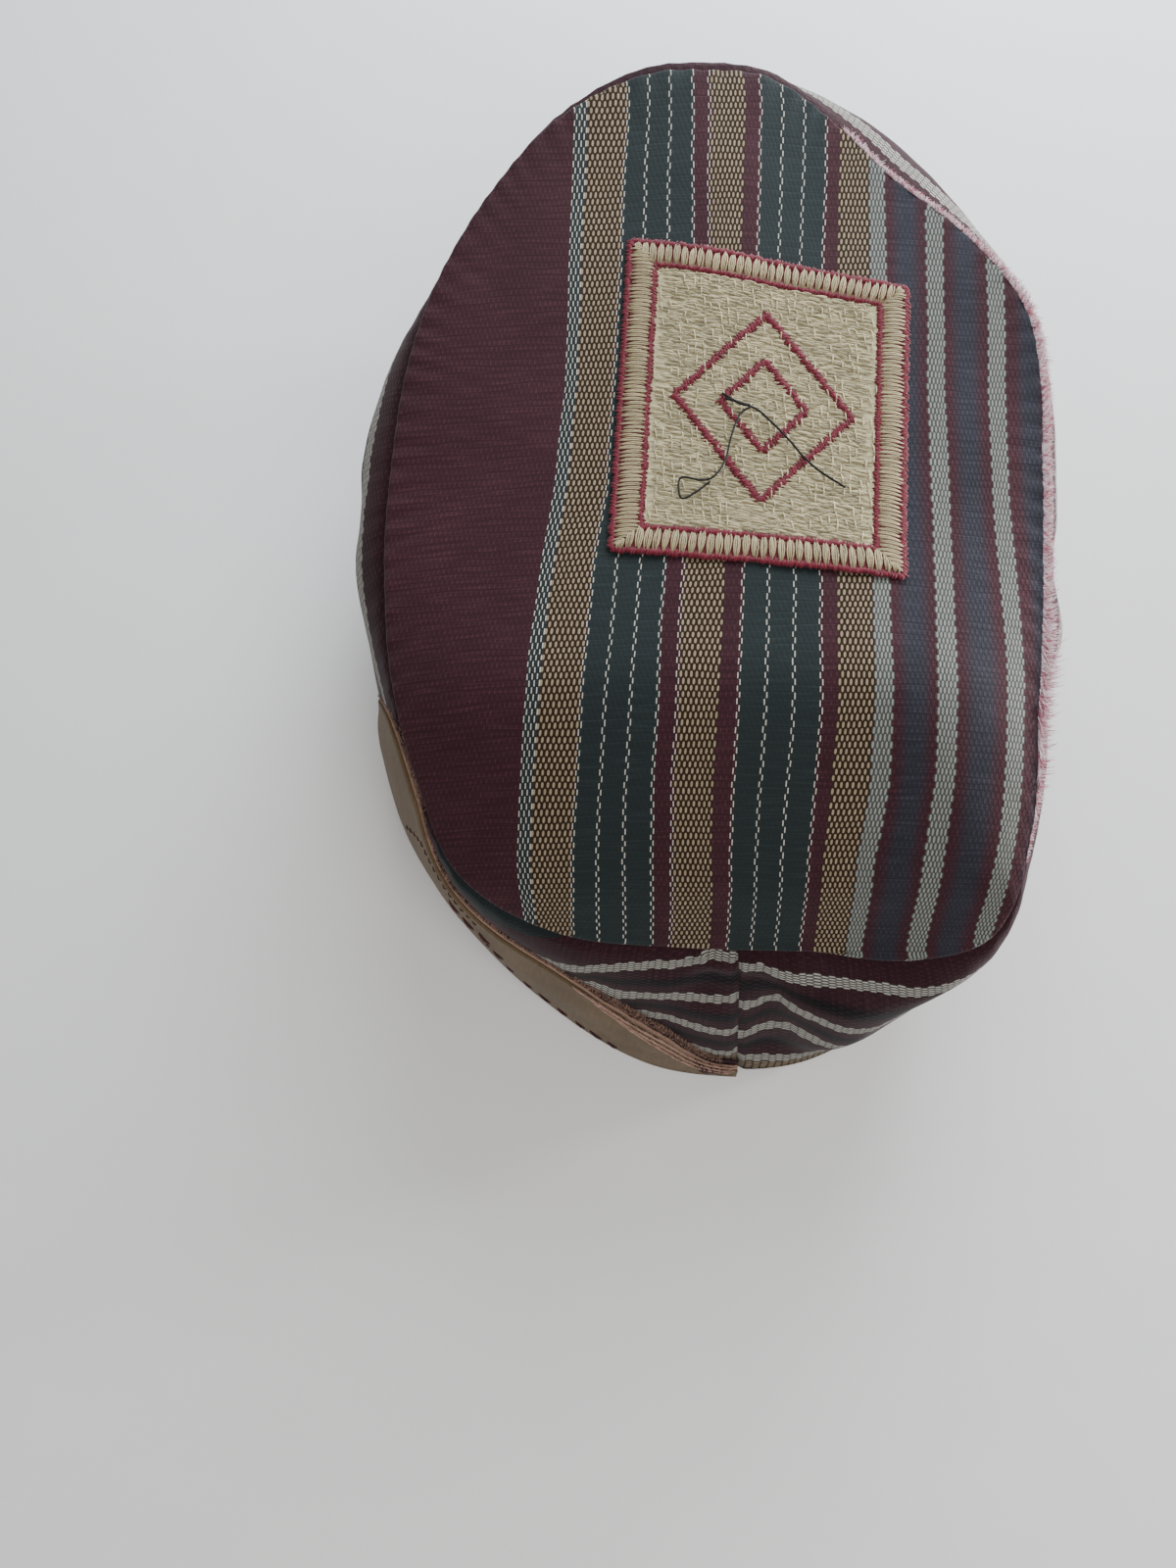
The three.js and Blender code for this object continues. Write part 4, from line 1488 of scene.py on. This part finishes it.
def low_edges(chance):
    runs = []
    for first, last in LOW_EDGES:
        for _ in range(LOW_EDGE_THREADS):
            at = chance.random()
            past = at + chance.uniform(0.05, 0.09)
            drift = chance.uniform(-0.02, 0.02)
            start = (lerp(first[0], last[0], at), lerp(first[1], last[1], at) + drift)
            end = (lerp(first[0], last[0], past), lerp(first[1], last[1], past) + drift * 0.4)
            runs.append(cuff_stitch(start, end, LOW_EDGE_RADIUS, chance.random()))
    return runs


def fitted(piece, *nodes, slot):
    """Rides the piece on the cap, in place of the nodes that it stands for."""
    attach(piece, "root")
    if nodes:
        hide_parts(*nodes)
    return piece


# Columns are the camera's right, its up, its back and its place in metres
CAMERA = Matrix((
    (-1, 0, 0, 0.02687),
    (0, -0.9781, 0.2079, 0.11417),
    (0, 0.2079, 0.9781, 0.32781),
    (0, 0, 0, 1),
))
SENSOR_WIDTH = 36
FLOOR_HALF_SIZE = 4

# name, place and size in metres, power as a share of the key, colour
LIGHTS = [
    ("light_over_front", (-0.12, -0.58, 0.38), 0.6, 1.02, (0.96, 0.99, 1.02)),
    ("light_low_front", (-0.16, -0.40, 0.20), 0.3, 0.2, (0.86, 0.97, 1.08)),
    ("light_right", (-0.75, -0.16, 0.035), 0.14, 2.2, (1.0, 0.97, 0.98)),
    ("light_back", (-0.09, 0.27, 0.46), 0.35, 0.19, (1.0, 0.97, 0.93)),
]
LIGHTS_AIM = Vector((0, 0, 0.05))


class CAP_OT_stage(bpy.types.Operator):
    """Add the camera, the pale floor and the soft lights"""

    bl_idname = "cap.stage"
    bl_label = "Stage"

    def execute(self, context):
        settings = context.scene.cap_stage
        camera_data = bpy.data.cameras.new("camera")
        camera_data.lens = settings.lens
        camera_data.sensor_width = SENSOR_WIDTH
        camera = bpy.data.objects.new("camera", camera_data)
        context.scene.collection.objects.link(camera)
        camera.matrix_world = CAMERA
        context.scene.camera = camera

        bm = bmesh.new()
        bmesh.ops.create_grid(bm, x_segments=1, y_segments=1, size=FLOOR_HALF_SIZE)
        floor = new_piece("floor", bm, [floor_material(settings)], smooth_faces=False)

        world = bpy.data.worlds.new("soft surroundings")
        world.use_nodes = True
        background = world.node_tree.nodes["Background"]
        background.inputs["Color"].default_value = (1, 1, 1, 1)
        background.inputs["Strength"].default_value = settings.ambient
        context.scene.world = world
        for name, spot, size, share, colour in LIGHTS:
            data = bpy.data.lights.new(name, "AREA")
            data.shape = "DISK"
            data.size = size
            data.energy = settings.key * share
            data.color = colour
            light = bpy.data.objects.new(name, data)
            context.scene.collection.objects.link(light)
            light.location = spot
            light.rotation_euler = (LIGHTS_AIM - Vector(spot)).to_track_quat("-Z", "Y").to_euler()
        return {"FINISHED"}


def floor_material(settings):
    nodes = Nodes("pale floor")
    where = nodes.node("ShaderNodeTexCoord").outputs["Object"]
    grain = nodes.lumps(where, 40.0)
    colour = nodes.scaled(settings.floor, nodes.ease(grain, 0.3, 0.7, 0.985, 1.0))
    return nodes.finish(colour, grain, 0.1 * MM, 0.9, 0.0)


# Colours of the threads that are not the embroidery's own
WINE_THREAD = srgb(70, 26, 30)
RAW_RED_THREAD = srgb(196, 158, 140)
DARK_THREAD = srgb(17, 21, 21)
# Near-white as painted glow along the crown's seam
FIBRE_WITH_PAINTED_GLOW = srgb(242, 224, 229)
RED_FIBRE = srgb(198, 112, 132)
CUFF_SEED, FIBRE_SEED = 21, 5

# The embroidery's outlines, inset from the panel's edge by these, and their widths and rise
SATIN_INSET, FILL_INSET = 1.0, 2.2
OUTER_LINE, INNER_LINE, LINE_WIDTH = 0.4, 1.5, 1.6
OUTER_LINE_RISE, INNER_LINE_RISE = 0.25, 0.35
LOZENGE_SHARES, LOZENGE_WIDTH, LOZENGE_RISE = (0.62, 0.30), 2.0, 0.6


class CAP_OT_crown_cloth(bpy.types.Operator):
    """Lay the striped cloth over the crown"""

    bl_idname = "cap.crown_cloth"
    bl_label = "Crown cloth"

    def execute(self, context):
        piece = fitted(build_crown_cloth(context.scene.cap_cloth), "crown_panel", slot="crown_cloth")
        return {"FINISHED"}


class CAP_OT_band_cloth(bpy.types.Operator):
    """Wrap the striped strip round the side and turn in its hem"""

    bl_idname = "cap.band_cloth"
    bl_label = "Band cloth"

    def execute(self, context):
        piece = fitted(build_band_cloth(context.scene.cap_cloth), "side_band", slot="band_cloth")
        return {"FINISHED"}


class CAP_OT_cuff(bpy.types.Operator):
    """Turn up the lined cuff in its three plies, with its stitches and raw edge"""

    bl_idname = "cap.cuff"
    bl_label = "Cuff"

    def execute(self, context):
        settings = context.scene.cap_cloth
        chance = random.Random(CUFF_SEED)
        materials = (lining_material(settings), interlining_material(settings), band_material(settings))
        for seed, (ply, material) in enumerate(zip(CUFF_PLIES, materials)):
            piece = build_cuff_ply(*ply, material, 2.0 + seed)
            nodes = ("lined_cuff",) if seed == 0 else ()
            fitted(piece, *nodes, slot="band_cloth" if seed == 2 else "lining_cloth")
        thread = thread_material("wine thread", WINE_THREAD, 0.6, 0.8, 0.1)
        fitted(threads("cuff_stitches", cuff_stitches(chance), 6, thread), slot="embroidery")
        raw = thread_material("raw red threads", RAW_RED_THREAD, 0.45, 0.9, 0.1)
        fitted(threads("cuff_raw_edge", cuff_fringe(chance), 4, raw), slot="band_cloth")
        fitted(threads("cuff_ply_edges", low_edges(chance), 4, raw), slot="band_cloth")
        return {"FINISHED"}


class CAP_OT_panel(bpy.types.Operator):
    """Embroider the geometric panel on the crown"""

    bl_idname = "cap.embroidery"
    bl_label = "Embroidered panel"

    def execute(self, context):
        settings = context.scene.cap_embroidery
        chance = random.Random(settings.seed)
        ground = fitted(build_panel_ground(settings), "embroidered_patch", slot="embroidery")
        cream = thread_material("cream thread", settings.cream, 0.62, 0.5, 0.15)
        straw = thread_material("straw thread", settings.straw, 0.48, 0.6, 0.15)
        burgundy = thread_material("burgundy thread", settings.burgundy, 0.7, 0.55, 0.15)
        width = settings.border / MM
        outer, inner = panel_ring(SATIN_INSET), panel_ring(SATIN_INSET + width)
        satin = border_runs(outer, inner, settings, chance)
        fitted(threads("satin_border", satin, 6, cream), slot="embroidery")
        fill = fill_runs(panel_ring(width + FILL_INSET), chance)
        fitted(threads("panel_fill", fill, 5, straw), slot="embroidery")
        lines = outline_runs(panel_ring(OUTER_LINE), LINE_WIDTH, chance, OUTER_LINE_RISE)
        lines += outline_runs(panel_ring(width + INNER_LINE), LINE_WIDTH, chance, INNER_LINE_RISE)
        for share in LOZENGE_SHARES:
            lines += outline_runs(lozenge(share), LOZENGE_WIDTH, chance, LOZENGE_RISE)
        fitted(threads("burgundy_outline", lines, 5, burgundy), slot="embroidery")
        dark = thread_material("dark thread", DARK_THREAD, 0.8, 0.6, 0.0)
        loose = [loose_run(LOOSE_THREAD, 0.9, 1.0), loose_run(LOOSE_BRANCH, 0.7, 2.0)]
        fitted(threads("loose_thread_end", loose, 6, dark, flat=1.0), slot="embroidery")
        return {"FINISHED"}


class CAP_OT_seam_fibres(bpy.types.Operator):
    """Raise the raw fibres along the crown's seam"""

    bl_idname = "cap.seam_fibres"
    bl_label = "Seam fibres"

    def execute(self, context):
        pale, red = seam_fibres(random.Random(FIBRE_SEED))
        # The pale fibres' near-white is painted glow
        light = thread_material("pale fibres with painted glow", FIBRE_WITH_PAINTED_GLOW, 0.7, 0.8, 0.2)
        dark = thread_material("red fibres", RED_FIBRE, 0.55, 0.8, 0.2)
        fitted(threads("seam_fibres_pale_painted_glow", pale, 4, light), slot="crown_cloth")
        fitted(threads("seam_fibres_red", red, 4, dark), slot="crown_cloth")
        return {"FINISHED"}


class CAP_PT_panel(bpy.types.Panel):
    """The cap's steps and settings in the sidebar"""

    bl_idname = "CAP_PT_panel"
    bl_label = "Aso oke cap"
    bl_space_type = "VIEW_3D"
    bl_region_type = "UI"
    bl_category = "Cap"

    def draw(self, context):
        for operator in OPERATORS:
            self.layout.operator(operator.bl_idname)
        for group in (context.scene.cap_cloth, context.scene.cap_embroidery, context.scene.cap_stage):
            for key in group.__annotations__:
                self.layout.prop(group, key)


OPERATORS = (
    CAP_OT_stage,
    CAP_OT_crown_cloth,
    CAP_OT_band_cloth,
    CAP_OT_cuff,
    CAP_OT_panel,
    CAP_OT_seam_fibres,
)
SETTINGS = (
    ("cap_cloth", CapClothSettings),
    ("cap_embroidery", CapEmbroiderySettings),
    ("cap_stage", CapStageSettings),
)


def register():
    for name, group in SETTINGS:
        bpy.utils.register_class(group)
        setattr(bpy.types.Scene, name, PointerProperty(type=group))
    for operator in OPERATORS:
        bpy.utils.register_class(operator)
    bpy.utils.register_class(CAP_PT_panel)


def unregister():
    bpy.utils.unregister_class(CAP_PT_panel)
    for operator in reversed(OPERATORS):
        bpy.utils.unregister_class(operator)
    for name, group in reversed(SETTINGS):
        delattr(bpy.types.Scene, name)
        bpy.utils.unregister_class(group)


def main():
    register()
    bpy.ops.cap.stage()
    bpy.ops.cap.crown_cloth()
    bpy.ops.cap.band_cloth()
    bpy.ops.cap.cuff()
    bpy.ops.cap.embroidery()
    bpy.ops.cap.seam_fibres()


if __name__ == "__main__":
    main()
